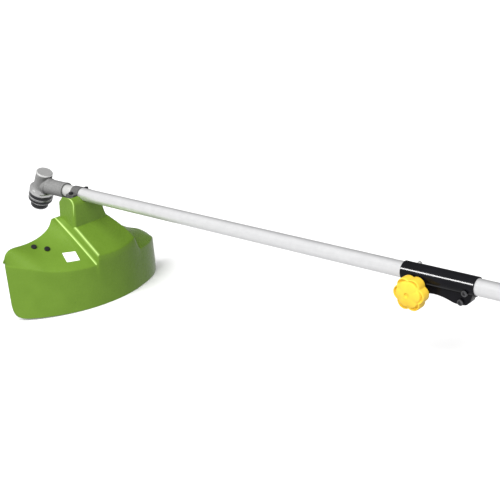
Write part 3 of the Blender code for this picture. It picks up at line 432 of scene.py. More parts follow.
cast_alloy = casting("blasted_casting", (0.39, 0.39, 0.385), (0.18, 0.18, 0.178))
bracket_alloy = casting("bracket_casting", (0.2, 0.2, 0.197), (0.11, 0.11, 0.11))
cap_alloy = bevelled_cap("turned_cap", GEAR.col[2].to_3d())
flange_black = blackened("blackened_flange", GEAR.col[2].to_3d())
print("metals ready")

# %% [markdown]
# ## Tools for the finer pieces
#
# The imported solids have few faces, because many programs have to read them. The pieces that the picture
# shows largest are modelled again with rounder forms. Each is drawn in millimetres in the frame of its
# own part, shaped with mesh operators and modifiers, and moved to its place in the very end, so that
# its object stays at the origin.

# %% Helpers for modelling
CRISP_ANGLE = 34


def started(name, form):
    """An object made from a bmesh."""
    mesh = bpy.data.meshes.new(name)
    form.to_mesh(mesh)
    form.free()
    return linked(name, mesh)


def modified(made, kind, **settings):
    """Gives an object the mesh that one modifier makes of it."""
    step = made.modifiers.new(kind.lower(), kind)
    for name, value in settings.items():
        setattr(step, name, value)
    graph = bpy.context.evaluated_depsgraph_get()
    graph.update()
    made.data = bpy.data.meshes.new_from_object(made.evaluated_get(graph))
    made.modifiers.clear()


def combined(made, name, form, operation):
    """Works a second form into an object."""
    tool = started(name, form)
    modified(made, "BOOLEAN", object=tool, operation=operation, solver="EXACT")
    bpy.data.objects.remove(tool)


def joined(made, name, form):
    """Joins a second form on."""
    combined(made, name, form, "UNION")


def cut(made, name, form):
    """Cuts a second form out."""
    combined(made, name, form, "DIFFERENCE")


def placed(made, frame_of_part, finish, crisp=CRISP_ANGLE):
    """Moves a finished piece from millimetres to its place. Edges sharper than the angle stay crisp."""
    made.data.transform(frame_of_part)
    made.data.materials.clear()
    made.data.materials.append(finish.material)
    for face in made.data.polygons:
        face.use_smooth = True
    made.data.set_sharp_from_angle(angle=radians(crisp))
    print(made.name, len(made.data.polygons), "faces")


def lathe(profile, segments=64):
    """A form turned about Z from (radius, height) points; one off the axis closes into a ring."""
    form = bmesh.new()
    points = [form.verts.new((radius, 0, height)) for radius, height in profile]
    ends = points[1:] + points[:1] if profile[0][0] > 0 else points[1:]
    edges = [form.edges.new(pair) for pair in zip(points, ends)]
    bmesh.ops.spin(form, geom=points + edges, cent=(0, 0, 0), axis=(0, 0, 1), angle=tau,
                   steps=segments, use_merge=True)
    bmesh.ops.remove_doubles(form, verts=form.verts, dist=0.0001)
    bmesh.ops.recalc_face_normals(form, faces=form.faces)
    return form


def rounded(form, parts, radius, steps, affect="EDGES"):
    """Rounds edges or corners of a form."""
    bmesh.ops.bevel(form, geom=parts, offset=radius, segments=steps, profile=0.5, affect=affect,
                    material=-1)


def block(low, high, radius=0.0, steps=4):
    """A block between two corners, with rounded edges where a radius is given."""
    form = bmesh.new()
    low, high = Vector(low), Vector(high)
    bmesh.ops.create_cube(form, size=1)
    bmesh.ops.scale(form, vec=high - low, verts=form.verts)
    bmesh.ops.translate(form, vec=(low + high) / 2, verts=form.verts)
    if radius:
        rounded(form, form.edges[:], radius, steps)
    return form


def round_bar(radius, low, high, segments=32):
    """A cylinder on Z between two heights."""
    form = bmesh.new()
    bmesh.ops.create_cone(form, cap_ends=True, segments=segments, radius1=radius, radius2=radius,
                          depth=high - low)
    bmesh.ops.translate(form, vec=(0, 0, (low + high) / 2), verts=form.verts)
    return form


def turned_to(form, frame_of_tool):
    """Turns and moves a form inside its part's frame."""
    bmesh.ops.transform(form, matrix=frame_of_tool, verts=form.verts)
    return form


print("modelling tools ready")

# %% [markdown]
# ## The guard
#
# The real guard is one thin moulding: two wings slope back from a straight front edge to a curved skirt,
# and a raised saddle runs down from the tower that holds it. Such a shell is a surface first and a
# thickness second. A grid is laid over it with one column of points for each angle round its centre,
# creases mark the ridges, subdivision rounds the rest, and Solidify gives the wall. Sculpting would
# give softer ridges than a moulding has.
#
# Subdivision forgets which edges were ridges. So every point of the grid carries the number of its
# column and of its row, which subdivision hands on, and the ridges are found again by those numbers and
# bevelled. A wall of even thickness runs out past the front edge's two ends, and is brought back to
# them. On the real guard the ridges shine as thin lines. A rounding of one millimetre is too narrow to
# show that at this distance, so a paler colour is painted along them as a highlight.

# %% Measures of the guard, in millimetres in the shaft's frame
CENTRE_X, SKIRT_R, WALL, FRONT_X, TOWER_BACK = 10.5, 200.5, 3.0, 97.0, 147.0
WING_END = 64.8
# the rim: the radius of its two corners, its height under the spindle and its slope along the shaft
RIM_CORNER, RIM_AT_AXIS, RIM_SLOPE = 24.0, -220.9, 0.052
# the front edge's height against the distance across; the crease's height and the far side's flare
# against the angle round the skirt's centre
FRONT_EDGE = [(-183.2, -97), (-181.2, -86.5), (-176.5, -77.5), (-168, -72), (-155, -70.8), (-139, -72.8),
              (-124, -73), (-108, -71.8), (-97, -70), (-84, -65.7), (-72, -60), (-65.5, -54), (-62.2, -48),
              (-59.6, -42), (-56, -40.9), (-40, -41), (39.5, -43), (50, -46), (62, -57), (80, -78),
              (100, -97), (129, -117), (143, -122), (162, -129), (178, -141), (190.7, -153)]
CREASE = [(-64.8, -99.8), (-52.6, -105.6), (-46, -111.8), (-40.2, -116.9), (-32, -120.5), (-24.8, -122.5),
          (-12.6, -123.3), (23.9, -132), (26.4, -131.5), (31.7, -134.5), (40, -137.5), (50, -140.5),
          (57, -147), (64.8, -157)]
FLARE = [(24, 0), (46, 8), (64, 11)]
SADDLE_TOP, SADDLE_SLOPE, BULGE = (TOWER_BACK, -56.0), 0.754, 3.5
# how far the crease lies inside the skirt, and how far under it the skirt's own points begin
CREASE_INSET, UNDER_WING, UNDER_SADDLE = 1.2, 3.0, 12.0
# the wings' dome, and how much more slowly the near one falls beyond an angle, over how many degrees
DOME, LEVEL_FROM, LEVEL_OVER, LEVEL_BY = 1.5, 38, 20, 1.2
# angle round the skirt's centre and distance across at the front edge, for each column of points
NEAR_WING = [(-64.8, -183.2), (-63.7, -181.2), (-61.8, -176.5), (-58.5, -168), (-53.5, -155), (-47, -139),
             (-40, -122), (-33, -105.5), (-27, -91), (-21.5, -77), (-18.2, -68), (-16.2, -62.2),
             (-15.2, -59.6), (-14, -56), (-12.6, -49.5)]
SADDLE = [(-11.07, -40.5), (-6, -24), (0, 0), (6, 18), (12, 32), (17.5, 41)]
FAR_WING = [(23.9, 50), (27, 62), (31.5, 78), (37, 96), (43, 115), (49, 134), (54, 150), (58.5, 166),
            (61.8, 179), (64.8, 190.7)]
# how far the columns beside the shoulder drop behind the front edge
SAG = [(-18.2, 0), (-16.2, 3), (-15.2, 5.7), (-14, 4), (-12.6, 0)]
SAG_REACH = 0.15
# the rows from the front edge to the crease, and how far each moves the saddle's far edge across
TOP_ROWS = [0.0, 0.1, 0.22, 0.43, 0.52, 0.8, 1.0]
FAR_EDGE_SHIFT = [0.0, -1.5, -3.0, -5.0, -2.6, 4.4, 0.0]
# the row where the saddle turns down its slope, and how much higher its level part ends
KINK_ROW, KINK_LIFT = 3, 3
SKIRT_ROWS = [0.0, 0.3, 0.8, 1.0]


def between(points, at):
    """The value at a place on a line through points."""
    for (start, low), (end, high) in zip(points, points[1:]):
        if at <= end:
            return low + (high - low) * max(at - start, 0) / (end - start)
    return points[-1][1]


def on_skirt(angle, out=0.0):
    """A point of the skirt's plan, or so far outside it."""
    reach = SKIRT_R + out + between(FLARE, angle)
    return CENTRE_X + reach * cos(radians(angle)), reach * sin(radians(angle))


def rim_height(x, angle):
    """The flat rim, rounded up at its two ends."""
    short = max(RIM_CORNER - radians(WING_END - abs(angle)) * SKIRT_R, 0.0)
    return RIM_AT_AXIS + RIM_SLOPE * x + RIM_CORNER - sqrt(max(RIM_CORNER ** 2 - short ** 2, 0.0))


print("skirt reaches", round(on_skirt(0)[0], 1))


# %% One column of the guard's grid, and all of them
def down_the_skirt(angle, crease_z, bulge):
    """Points from just under the crease to the rim."""
    start = crease_z - (UNDER_SADDLE if bulge else UNDER_WING)
    line = []
    for part in SKIRT_ROWS:
        x, y = on_skirt(angle, 0.0 if part else bulge)
        line.append((x, y, start + (rim_height(x, angle) - start) * part))
    return line


def wing_column(angle, front_y):
    """Points over a wing. The near one's end stays level for longer, and then falls in a round."""
    crease_x, crease_y = on_skirt(angle, -CREASE_INSET)
    front_z, crease_z = between(FRONT_EDGE, front_y), between(CREASE, angle)
    sag = between(SAG, angle) if SAG[0][0] < angle < 0 else 0.0
    fall = 1 + LEVEL_BY * min(max(-angle - LEVEL_FROM, 0.0) / LEVEL_OVER, 1)
    line = []
    for part in TOP_ROWS:
        z = front_z + (crease_z - front_z) * part ** fall + DOME * sin(pi * part)
        z -= sag * min(part / SAG_REACH, 1) * (1 - part)
        line.append((FRONT_X + (crease_x - FRONT_X) * part, front_y + (crease_y - front_y) * part, z))
    return line + down_the_skirt(angle, crease_z, 0.0)


def saddle_column(angle, front_y):
    """Points over the saddle: level under the tower, then down a straight slope."""
    crease_x, crease_y = on_skirt(angle, BULGE - CREASE_INSET)
    front_z = between(FRONT_EDGE, front_y)
    line = []
    for part, shift in zip(TOP_ROWS, FAR_EDGE_SHIFT):
        x = FRONT_X + (crease_x - FRONT_X) * part
        y = front_y + (crease_y - front_y) * part + shift * max(angle / SADDLE[-1][0], 0.0) ** 3
        slope_z = SADDLE_TOP[1] - SADDLE_SLOPE * (x - SADDLE_TOP[0])
        level_z = front_z + (SADDLE_TOP[1] + KINK_LIFT - front_z) * part / TOP_ROWS[KINK_ROW]
        line.append((x, y, slope_z if part >= TOP_ROWS[KINK_ROW] else level_z))
    return line + down_the_skirt(angle, line[-1][2], BULGE)


grid_lines = [wing_column(*place) for place in NEAR_WING]
grid_lines += [saddle_column(*place) for place in SADDLE]
grid_lines += [wing_column(*place) for place in FAR_WING]
print("columns", len(grid_lines))

# %% The guard's outer face
ROWS = len(TOP_ROWS) + len(SKIRT_ROWS)
TOP_END = len(TOP_ROWS) - 1
FOOT = len(NEAR_WING) - 1
LAST = FOOT + len(SADDLE)
cage = bmesh.new()
bmesh.ops.create_grid(cage, x_segments=len(grid_lines) - 1, y_segments=ROWS - 1, size=1)
column_layer = cage.verts.layers.float.new("column")
row_layer = cage.verts.layers.float.new("row")
for vert in cage.verts:
    column = round((vert.co.x + 1) / 2 * (len(grid_lines) - 1))
    row = round((vert.co.y + 1) / 2 * (ROWS - 1))
    vert.co = grid_lines[column][row]
    vert[column_layer] = column
    vert[row_layer] = row
creases = cage.edges.layers.float.new("crease_edge")
for edge in cage.edges:
    ends = sorted((vert[column_layer], vert[row_layer]) for vert in edge.verts)
    (column, row), (next_column, next_row) = ends
    if column == next_column and max(row, next_row) <= TOP_END + 1:
        if column in (FOOT, FOOT + 1, LAST):
            edge[creases] = 1.0
        elif column == LAST + 1:
            edge[creases] = 0.5
    elif row == next_row == TOP_END:
        edge[creases] = 0.9
    elif row == next_row == TOP_END + 1:
        edge[creases] = 0.6
bmesh.ops.recalc_face_normals(cage, faces=cage.faces)
guard = started("guard_moulding", cage)
if sum(face.normal.z * face.area for face in guard.data.polygons) < 0:
    guard.data.flip_normals()
modified(guard, "SUBSURF", levels=2, render_levels=2)
print("outer face", len(guard.data.polygons), "faces")

# %% The wall and its rounded edges
RIDGE_ROUND, RIDGE_STEPS = 1.0, 8
RIM_ROUND, RIM_ANGLE, RIM_REACH = 0.7, radians(75), 176


def ridge_edges(form, columns):
    """Edges that subdivision has left on some columns of the grid, from the front edge to the crease."""
    column, row = form.verts.layers.float["column"], form.verts.layers.float["row"]
    return [edge for edge in form.edges if edge.is_manifold
            and all(vert[row] < TOP_END + 0.01 for vert in edge.verts)
            and any(all(abs(vert[column] - line) < 0.01 for vert in edge.verts) for line in columns)]


surface = bmesh.new()
surface.from_mesh(guard.data)
shown = ridge_edges(surface, (FOOT,))
shown += [edge for edge in ridge_edges(surface, (FOOT + 1,)) if edge.verts[0].co.x > TOWER_BACK]
ridge_points = [edge.verts[0].co.lerp(edge.verts[1].co, step / RIDGE_STEPS)
                for edge in shown for step in range(RIDGE_STEPS + 1)]
surface.free()
modified(guard, "SOLIDIFY", thickness=WALL, offset=-1, use_even_offset=True)
walled = bmesh.new()
walled.from_mesh(guard.data)
for vert in walled.verts:
    vert.co.y = min(max(vert.co.y, NEAR_WING[0][1]), FAR_WING[-1][1])
rounded(walled, ridge_edges(walled, (FOOT, FOOT + 1, LAST)), RIDGE_ROUND, 4)
rim = [edge for edge in walled.edges if edge.is_manifold and edge.calc_face_angle() > RIM_ANGLE
       and all(abs(vert.co.y) < RIM_REACH for vert in edge.verts)]
rounded(walled, rim, RIM_ROUND, 2)
for name in ("column", "row"):
    walled.verts.layers.float.remove(walled.verts.layers.float[name])
walled.to_mesh(guard.data)
walled.free()
print("wall", WALL, "mm,", len(guard.data.polygons), "faces,", len(ridge_points), "points on ridges")

# %% [markdown]
# ### The tower and the holes
#
# Under the shaft the moulding rises into a hollow tower, on which the bracket sits. Its walls lean
# outwards to the foot, as a mould needs, and its top is cut back in front and rounded towards the motor.
# So it is built as a stack of rounded rectangles. The lower part of that stack, three millimetres
# smaller, hollows it.

# %% Tower, pocket and groove
BRACKET = (110.5, 133.0)
TUBE_R, SHELF_Z = 13.0, -19.6
# height, front and back along the shaft, near and far side across it, radius of the upright corners
TOWER = [(-62, FRONT_X, TOWER_BACK, -42, 49, 6.5), (-55, FRONT_X, TOWER_BACK, -41.3, 45.5, 6.5),
         (-46, FRONT_X, TOWER_BACK, -40.3, 42, 6.5), (-36, FRONT_X, TOWER_BACK, -39.2, 39.4, 6.5),
         (-14, FRONT_X, TOWER_BACK, -37, 37.4, 6.5), (-11.6, 97.4, 146.8, -36.8, 37.2, 6.2),
         (-9, 100.2, 146.2, -36.6, 37, 6), (-6, 103.4, 144.8, -36.4, 36.8, 5.4),
         (-3, 106.7, 142.4, -36.2, 36.6, 4.6), (-1, 109, 139.6, -36, 36.4, 3.6),
         (0.2, 111.2, 136.6, -36, 36.4, 2.6), (0.7, 114, 133, -36, 36.4, 2)]
TOP_RINGS = 4
# how far the middle of a rounded corner is from the square corner, as a share of its radius
ROUND_MIDDLE = 0.3
# how far from a ridge the painted highlight ends, and over how much it fades
HIGHLIGHT_REACH, HIGHLIGHT_FADE = 1.5, 0.8


def stacked(rings, grow=0.0, steps=6):
    """A closed form through rounded rectangles at several heights."""
    form = bmesh.new()
    loops = []
    for z, front, behind, near, far, radius in rings:
        front, behind, near, far = front - grow, behind + grow, near - grow, far + grow
        loop = []
        for x, y, start in ((behind, far, 0), (front, far, 90), (front, near, 180), (behind, near, 270)):
            centre_x = x - radius if x == behind else x + radius
            centre_y = y - radius if y == far else y + radius
            for step in range(steps + 1):
                angle = radians(start + 90 * step / steps)
                spot = (centre_x + radius * cos(angle), centre_y + radius * sin(angle), z)
                loop.append(form.verts.new(spot))
        loops.append(loop)
    for lower, higher in zip(loops, loops[1:]):
        for index in range(len(lower)):
            after = (index + 1) % len(lower)
            form.faces.new((lower[index], lower[after], higher[after], higher[index]))
    form.faces.new(loops[0])
    form.faces.new(loops[-1])
    bmesh.ops.recalc_face_normals(form, faces=form.faces)
    return form


joined(guard, "tower", stacked(TOWER))
HOLLOW = [(-120, FRONT_X, TOWER_BACK, -44, 52, 6.5), *TOWER[:TOP_RINGS],
          (SHELF_Z - WALL, FRONT_X, TOWER_BACK, -37.6, 38, 6.5)]
cut(guard, "hollow", stacked(HOLLOW, -WALL))
cut(guard, "pocket", block((80, -24.6, SHELF_Z), (BRACKET[1] + 0.6, 24.6, 10), 0.6, 1))
MOUTH = [(-11, 60, BRACKET[1] + 0.2, -23, 20, 0.6), (0, 60, BRACKET[1] + 2, -33, 20, 0.6),
         (2, 60, BRACKET[1] + 2.4, -34.6, 20, 0.6)]
cut(guard, "mouth", stacked(MOUTH))
cut(guard, "low_far_wall", block((60, 5, -6), (149, 92, 12), 0.6, 1))
cut(guard, "groove", turned_to(round_bar(TUBE_R + 0.7, 90, 160, 64), ALONG_SHAFT))
bracket_middle = Matrix.Translation((sum(BRACKET) / 2, 0, 0))
cut(guard, "pilot", turned_to(round_bar(2.3, -30, -14, 16), bracket_middle))

# %% Screw holes of the line cutter
SEAT_NORMAL = Vector((0.583, -0.175, 1)).normalized()
OUTER_SCREW, INNER_SCREW, SCREW_OFF = Vector((110.7, -118.9, -80.0)), Vector((128.2, -100.1, -87.0)), 13
seat_along = INNER_SCREW - OUTER_SCREW
seat_along = (seat_along - SEAT_NORMAL * seat_along.dot(SEAT_NORMAL)).normalized()
SEAT = Matrix((seat_along, SEAT_NORMAL.cross(seat_along), SEAT_NORMAL)).transposed().to_4x4()
SEAT.translation = (OUTER_SCREW + INNER_SCREW) / 2
for place in (-SCREW_OFF, SCREW_OFF):
    drill = turned_to(round_bar(2.4, -9, 6, 16), SEAT @ Matrix.Translation((place, 0, 0)))
    cut(guard, "drill", drill)
print("guard with its holes", len(guard.data.polygons), "faces")

# %% The painted highlight along ridges, and the finished guard
for z, _, behind, near, _, radius in TOWER[TOP_RINGS:]:
    ridge_points.append(Vector((behind - ROUND_MIDDLE * radius, near + ROUND_MIDDLE * radius, z)))
near_ridge = KDTree(len(ridge_points))
for index, point in enumerate(ridge_points):
    near_ridge.insert(point, index)
near_ridge.balance()
# painted highlight: points near the ridges and the tower's corner get the paler colour
painted_highlight = guard.data.attributes.new("ridge_highlight", "FLOAT", "POINT")
for vert in guard.data.vertices:
    distance = near_ridge.find(vert.co)[2]
    painted_highlight.data[vert.index].value = max(0.0, min(1.0, (HIGHLIGHT_REACH - distance) / HIGHLIGHT_FADE))
placed(guard, TOOL, guard_green)
guard.modifiers.new("even_shading", "WEIGHTED_NORMAL")
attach(guard, "lower_unit")
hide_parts("guard_shell")

# %% [markdown]
# ### A blank label
#
# A white sheet is stuck on the near wing. It is left bare. A sheet that follows a curved wing can be
# found by looking: rays from the camera through the sheet's place in the picture meet the guard, a grid
# takes those points, a little above the wing, and Solidify gives it the thickness of a sticker.

# %% Blank label on the near wing
# in pixels of the picture, and in metres
LABEL_CORNERS = [Vector((62.1, 253.1)), Vector((75.3, 251.4)), Vector((80.0, 260.1)), Vector((67.0, 262.3))]
LABEL_LIFT, LABEL_THICK, LABEL_ROUND = 0.00005, 0.00014, 0.0012
guard_form = bmesh.new()
guard_form.from_mesh(guard.data)
tree = BVHTree.FromBMesh(guard_form)
label_sheet = bmesh.new()
bmesh.ops.create_grid(label_sheet, x_segments=16, y_segments=12, size=1)
for vert in label_sheet.verts:
    u, v = (vert.co.x + 1) / 2, (vert.co.y + 1) / 2
    upper = LABEL_CORNERS[0].lerp(LABEL_CORNERS[1], u)
    lower = LABEL_CORNERS[3].lerp(LABEL_CORNERS[2], u)
    spot, normal, _, _ = tree.ray_cast(*ray_through(*upper.lerp(lower, v)))
    vert.co = spot + normal * LABEL_LIFT
guard_form.free()
corners = [vert for vert in label_sheet.verts if len(vert.link_edges) == 2]
rounded(label_sheet, corners, LABEL_ROUND, 3, "VERTICES")
bmesh.ops.recalc_face_normals(label_sheet, faces=label_sheet.faces)
label = started("blank_label", label_sheet)
if label.data.polygons[0].normal.z < 0:
    label.data.flip_normals()
modified(label, "SOLIDIFY", thickness=LABEL_THICK, offset=1)
placed(label, Matrix(), label_paper, 60)
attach(label, "lower_unit")

# %% [markdown]
# ## The clamp knob
#
# The knob is one moulding with six round lobes. Its face is a low dome that runs out to the notches
# between the lobes, and in each lobe it dips into a shallow pocket behind a thin rim. The outline is
# taken from six circles on a ring. Copies of that outline at other sizes and heights, joined in
# sequence, give the wall, the rim, the pockets and the dome.

# %% Outline of the knob and its levels
KNOB_X, KNOB_Z = 935.7, -21.5
# the lobes: how many, how far out and how wide they are, and the steps of the outline in each
LOBES, LOBE_AT, LOBE_R, LOBE_STEPS = 6, 14.5, 12.5, 16
# under 1, the pockets reach further from the tips of the lobes
POCKET_SPREAD = 0.6
KNOB = TOOL @ Matrix.Translation((KNOB_X, 0, KNOB_Z)) @ SIDEWAYS


def knob_reach(angle):
    """How far the outline is from the axis, and how near to the tip of its lobe, from 0 to 1."""
    off = (angle + pi / LOBES) % (tau / LOBES) - pi / LOBES
    reach = LOBE_AT * cos(off) + sqrt(LOBE_R ** 2 - (LOBE_AT * sin(off)) ** 2)
    return reach, (0.5 + 0.5 * cos(off * LOBES)) ** POCKET_SPREAD


# size of the outline, height, and how much deeper that level lies at the tips of the lobes
KNOB_LEVELS = [(0.93, 18.0, 0), (0.975, 18.7, 0), (1.0, 20.2, 0), (1.0, 33.6, 0), (0.99, 35.0, 0),
               (0.965, 35.9, 0), (0.935, 36.2, 0), (0.92, 36.2, 0.6), (0.905, 36.3, 3.8), (0.88, 36.6, 4.7),
               (0.84, 37.0, 4.8), (0.81, 37.3, 3.3), (0.79, 37.6, 0.8), (0.76, 37.9, 0.2), (0.68, 38.4, 0),
               (0.55, 39.2, 0), (0.38, 39.9, 0), (0.2, 40.3, 0)]
print("knob's outline reaches", knob_reach(0)[0], "mm, levels", len(KNOB_LEVELS))

# %% The knob
knob_form = bmesh.new()
knob_steps = LOBES * LOBE_STEPS
scale, height, _ = KNOB_LEVELS[0]
first_ring = []
for index in range(knob_steps):
    angle = tau * index / knob_steps
    reach, _ = knob_reach(angle)
    first_ring.append(knob_form.verts.new((reach * scale * cos(angle), reach * scale * sin(angle), height)))
ring = [knob_form.edges.new(pair) for pair in zip(first_ring, first_ring[1:] + first_ring[:1])]
bmesh.ops.contextual_create(knob_form, geom=ring)
for scale, height, dip in KNOB_LEVELS[1:]:
    pushed = bmesh.ops.extrude_edge_only(knob_form, edges=ring)["geom"]
    ring = [item for item in pushed if isinstance(item, bmesh.types.BMEdge)]
    for vert in {vert for edge in ring for vert in edge.verts}:
        angle = atan2(vert.co.y, vert.co.x)
        reach, tip = knob_reach(angle)
        vert.co = (reach * scale * cos(angle), reach * scale * sin(angle), height - dip * tip)
bmesh.ops.contextual_create(knob_form, geom=ring)
bmesh.ops.recalc_face_normals(knob_form, faces=knob_form.faces)
knob = started("knob_moulding", knob_form)
modified(knob, "SUBSURF", levels=1, render_levels=1)
joined(knob, "hub", lathe([(0, 10.4), (8.4, 10.4), (9, 11), (9, 22), (0, 22)], 48))
cut(knob, "dimple", lathe([(0, 37.4), (3.0, 37.4), (4.0, 38.2), (4.6, 41.5), (0, 41.5)], 40))
cut(knob, "knob_bore", round_bar(3.4, 5, 30.4, 24))
placed(knob, KNOB, knob_yellow, 40)
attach(knob, "clamp_knob")
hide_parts("clamp_knob")

# %% [markdown]
# ## The gear head's casting
#
# An upright body with a foot flange and a barrel across it are cast in one piece, so they flow into
# each other. The turned forms, a boss, a rib and the bead along the mould's seam are joined, and a voxel
# remesh with a little smoothing melts them into fillets, as sand or a die would. The machined faces are
# separate and stay sharp: the polished cone of the foot and the collar that enters the tube.

# %% Cast body and barrel
BODY = [(0, -14.6), (24.3, -14.6), (24.6, -8.6), (20.3, -3.4), (19.3, -1), (18.3, 6), (17.5, 20),
        (17.2, 28.5), (0, 28.5)]
BARREL = [(0, 2), (15.4, 2), (15.9, 12), (15.9, 77.6), (16.6, 78.6), (16.6, 81.6), (15.8, 82.8), (0, 82.8)]
case = started("gear_head_casting", lathe(BODY, 96))
case.data.transform(TO_SPINDLE)
joined(case, "barrel", turned_to(lathe(BARREL, 96), ALONG_SHAFT))
boss_place = Matrix.Translation((50, 0, 0)) @ Matrix.Rotation(-pi / 2, 4, "X")
joined(case, "grease_boss", turned_to(round_bar(6.2, 8, 16.2, 32), boss_place))
rib = block((6, -1.6, 10), (30, 1.6, 21), 1.0, 2)
joined(case, "rib", turned_to(rib, Matrix.Rotation(radians(12), 4, "Y")))
bead = turned_to(round_bar(17.3, 17.8, 20.6, 64), Matrix.Diagonal((1.09, 1, 1, 1)))
joined(case, "seam_bead", turned_to(bead, TO_SPINDLE @ Matrix.Translation((0, 0, 9.2)) @ ALONG_SHAFT))
modified(case, "REMESH", mode="VOXEL", voxel_size=0.75)
modified(case, "SMOOTH", factor=0.5, iterations=7)
cut(case, "cavity", turned_to(round_bar(13.5, -17, 30, 48), TO_SPINDLE))
bore = lathe([(0, 4), (12.5, 4), (12.5, 36), (7.5, 38), (7.5, 171), (0, 171)], 40)
cut(case, "bore", turned_to(bore, ALONG_SHAFT))
placed(case, TOOL, cast_alloy, 50)
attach(case, "lower_unit")
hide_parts("gear_case")

# %% Polished cone, collar and the bracket's nut
cone = lathe([(21.2, -14.9), (25.0, -14.9), (25.7, -14.2), (25.8, -13.6), (25.8, -8.6), (25.5, -7.9),
              (24.9, -7.2), (20.9, -3.4), (20.0, -3.2)], 96)
placed(started("polished_foot", cone), GEAR, bright_steel, 40)
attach(bpy.data.objects["polished_foot"], "lower_unit")
collar = lathe([(7.6, 82.6), (12.6, 82.6), (12.6, 108.6), (12.1, 109.2), (11.0, 109.8), (11.0, 168),
                (10, 169), (7.6, 169)], 64)
placed(started("spigot_collar", turned_to(collar, ALONG_SHAFT)), TOOL, satin_steel, 40)
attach(bpy.data.objects["spigot_collar"], "lower_unit")
nut_place = Matrix.Translation((0, -17.2, -2.5))
hexagon = turned_to(round_bar(4.6, 105.4, 109.2, 6), ALONG_SHAFT)
rounded(hexagon, hexagon.edges[:], 0.5, 2)
nut = started("bracket_nut", turned_to(hexagon, nut_place))
joined(nut, "nut_washer", turned_to(round_bar(5.2, 109.0, 110.3, 40), nut_place @ ALONG_SHAFT))
placed(nut, TOOL, oxide_black, 30)
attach(nut, "lower_unit")

# %% [markdown]
# ## The coupler
#
# The coupler is cut from an extrusion, so its section never changes: a round sleeve with a fin under it.
# The fin's outline is sawn to a curve and its edges are broken. The sleeve is turned, the fin is an
# outline pushed across, and both are joined before the slit, the bore and the screw seats are cut. The
# long panel shines on this piece alone.

# %% Sleeve and fin
COUPLER, COUPLER_R, COUPLER_BORE, FIN_HALF, FIN_ROUND = (907.0, 1032.0), 15.0, 13.3, 8.0, 1.4
FIN = [(908, -5), (908, -27), (911, -29.6), (925, -29), (940, -28), (955, -25.4), (962, -24.8), (970, -25),
       (978, -26.2), (985, -27.8), (996, -31), (1008, -32), (1017, -30), (1023, -24), (1027, -12), (1029, -5)]
start, end = COUPLER
sleeve = turned_to(lathe([(0, start), (14.4, start), (COUPLER_R, start + 0.6), (COUPLER_R, end - 0.6),
                          (14.4, end), (0, end)], 96), ALONG_SHAFT)
coupler = started("coupler_extrusion", sleeve)
fin_form = bmesh.new()
face = fin_form.faces.new([fin_form.verts.new((x, -FIN_HALF, z)) for x, z in FIN])
pushed = bmesh.ops.extrude_face_region(fin_form, geom=[face])["geom"]
moved = [item for item in pushed if isinstance(item, bmesh.types.BMVert)]
bmesh.ops.translate(fin_form, vec=(0, 2 * FIN_HALF, 0), verts=moved)
rims = [edge for edge in fin_form.edges if abs(edge.verts[0].co.y - edge.verts[1].co.y) < 0.001]
rounded(fin_form, rims, FIN_ROUND, 4)
bmesh.ops.recalc_face_normals(fin_form, faces=fin_form.faces)
joined(coupler, "fin", fin_form)
cut(coupler, "coupler_bore", turned_to(round_bar(COUPLER_BORE, 900, 1040, 96), ALONG_SHAFT))
cut(coupler, "slit", block((900, -1, -45), (992, 1, -8)))
BUTTON = Matrix.Rotation(radians(-30), 4, "X")
button_slot = turned_to(round_bar(4.2, 9, 20, 32), BUTTON @ Matrix.Translation((929, 0, 0)))
cut(coupler, "button_slot", button_slot)
cut(coupler, "button_mouth", turned_to(block((900, -4.2, 9), (929, 4.2, 20)), BUTTON))
for name, x, z, radius, low, high in (("stud_hole", KNOB_X, KNOB_Z, 3.4, -14, 14),
                                      ("lower_hole", 1009, -26, 2.3, 5, 30),
                                      ("upper_hole", 1019, -7.5, 2.3, 5, 30),
                                      ("upper_seat", 1019, -7.5, 5.5, 13.6, 30)):
    drill = turned_to(round_bar(radius, low, high, 32), Matrix.Translation((x, 0, z)) @ SIDEWAYS)
    cut(coupler, name, drill)
placed(coupler, TOOL, coupler_black)
panel_sees = bpy.data.collections.new("panel_sees")
panel_sees.objects.link(coupler)
low_panel.light_linking.receiver_collection = panel_sees
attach(coupler, "upper_unit")
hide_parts("coupler_body")

# %% [markdown]
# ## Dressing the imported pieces
#
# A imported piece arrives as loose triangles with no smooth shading. Its mesh must stay as it is, but
# modifiers may finish it. Weld joins the triangles, a planar Decimate takes out the lines across flat
# faces, Bevel breaks the sharp edges as a real tool would, and weighted normals keep flats flat. The
# four pieces that are modelled again above only get their colour.

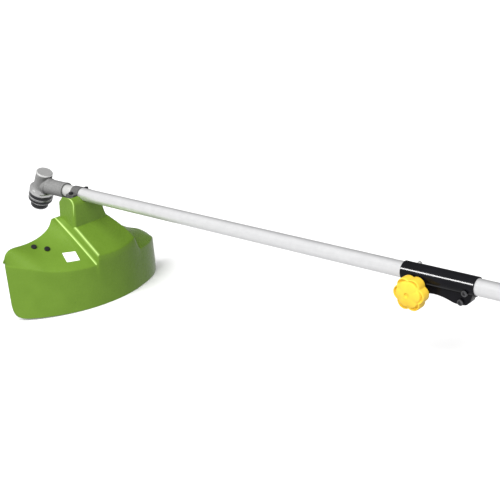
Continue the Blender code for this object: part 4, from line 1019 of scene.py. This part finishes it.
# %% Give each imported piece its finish
DRESS = {
    guard_green: ["guard_shell"],
    housing_green: ["housing_left", "housing_right"],
    knob_yellow: ["clamp_knob", "lock_off_button"],
    coupler_black: ["coupler_body"],
    matt_black: ["handle_clamp", "harness_clamp", "trigger", "switch_block", "mains_inlet", "cooling_fan"],
    nylon: ["lower_shaft_bush", "upper_shaft_bush"],
    grip_rubber: ["loop_handle"],
    carbon: ["brush_left", "brush_right"],
    tube_silver: ["lower_tube", "upper_tube"],
    cast_alloy: ["gear_case"],
    cap_alloy: ["gear_case_cap"],
    bracket_alloy: ["guard_bracket_upper", "guard_bracket_lower"],
    bright_steel: ["spindle", "spindle_nut", "spindle_upper_bearing", "spindle_lower_bearing",
                   "pinion_bearing", "grease_screw", "lower_drive_shaft", "upper_drive_shaft",
                   "clamp_stud", "clamp_washer", "clamp_nut", "detent_button", "harness_ring",
                   "harness_screw", "motor_front_bearing", "motor_rear_bearing"],
    dark_steel: ["coupler_screw_upper", "coupler_screw_lower"],
    spring_steel: ["line_cutter_blade", "trigger_spring"],
    core_steel: ["driven_gear", "pinion_gear", "motor_stator"],
    copper: ["armature"],
    brass: ["commutator"],
    oxide_black: ["guard_screw", "bracket_bolt_near", "bracket_bolt_far", "cutter_screw_outer",
                  "cutter_screw_inner", "tube_lock_screw", "handle_bolt", "housing_screw_front",
                  "housing_screw_rear"],
    flange_black: ["inner_flange", "outer_flange", "nut_cover"],
}
REPLACED = {"guard_shell", "clamp_knob", "gear_case", "coupler_body"}
# in metres, and in degrees
SAME_POINT, BROKEN_EDGE, FLAT_WITHIN = 0.00001, 0.0003, 0.6


def dress(name, finish):
    """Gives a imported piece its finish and, where it isn't replaced, softer edges."""
    node = nodes[name]
    node.data.materials.clear()
    node.data.materials.append(finish.material)
    for face in node.data.polygons:
        face.use_smooth = True
    if name in REPLACED:
        return
    weld = node.modifiers.new("join", "WELD")
    weld.merge_threshold = SAME_POINT
    flat = node.modifiers.new("flats", "DECIMATE")
    flat.decimate_type = "DISSOLVE"
    flat.angle_limit = radians(FLAT_WITHIN)
    broken = node.modifiers.new("broken_edges", "BEVEL")
    broken.width = BROKEN_EDGE
    broken.segments = 2
    broken.limit_method = "ANGLE"
    broken.angle_limit = radians(CRISP_ANGLE)
    node.modifiers.new("even_shading", "WEIGHTED_NORMAL")


for finish, names in DRESS.items():
    for name in names:
        dress(name, finish)
print("dressed", sum(len(names) for names in DRESS.values()), "of", len(nodes))
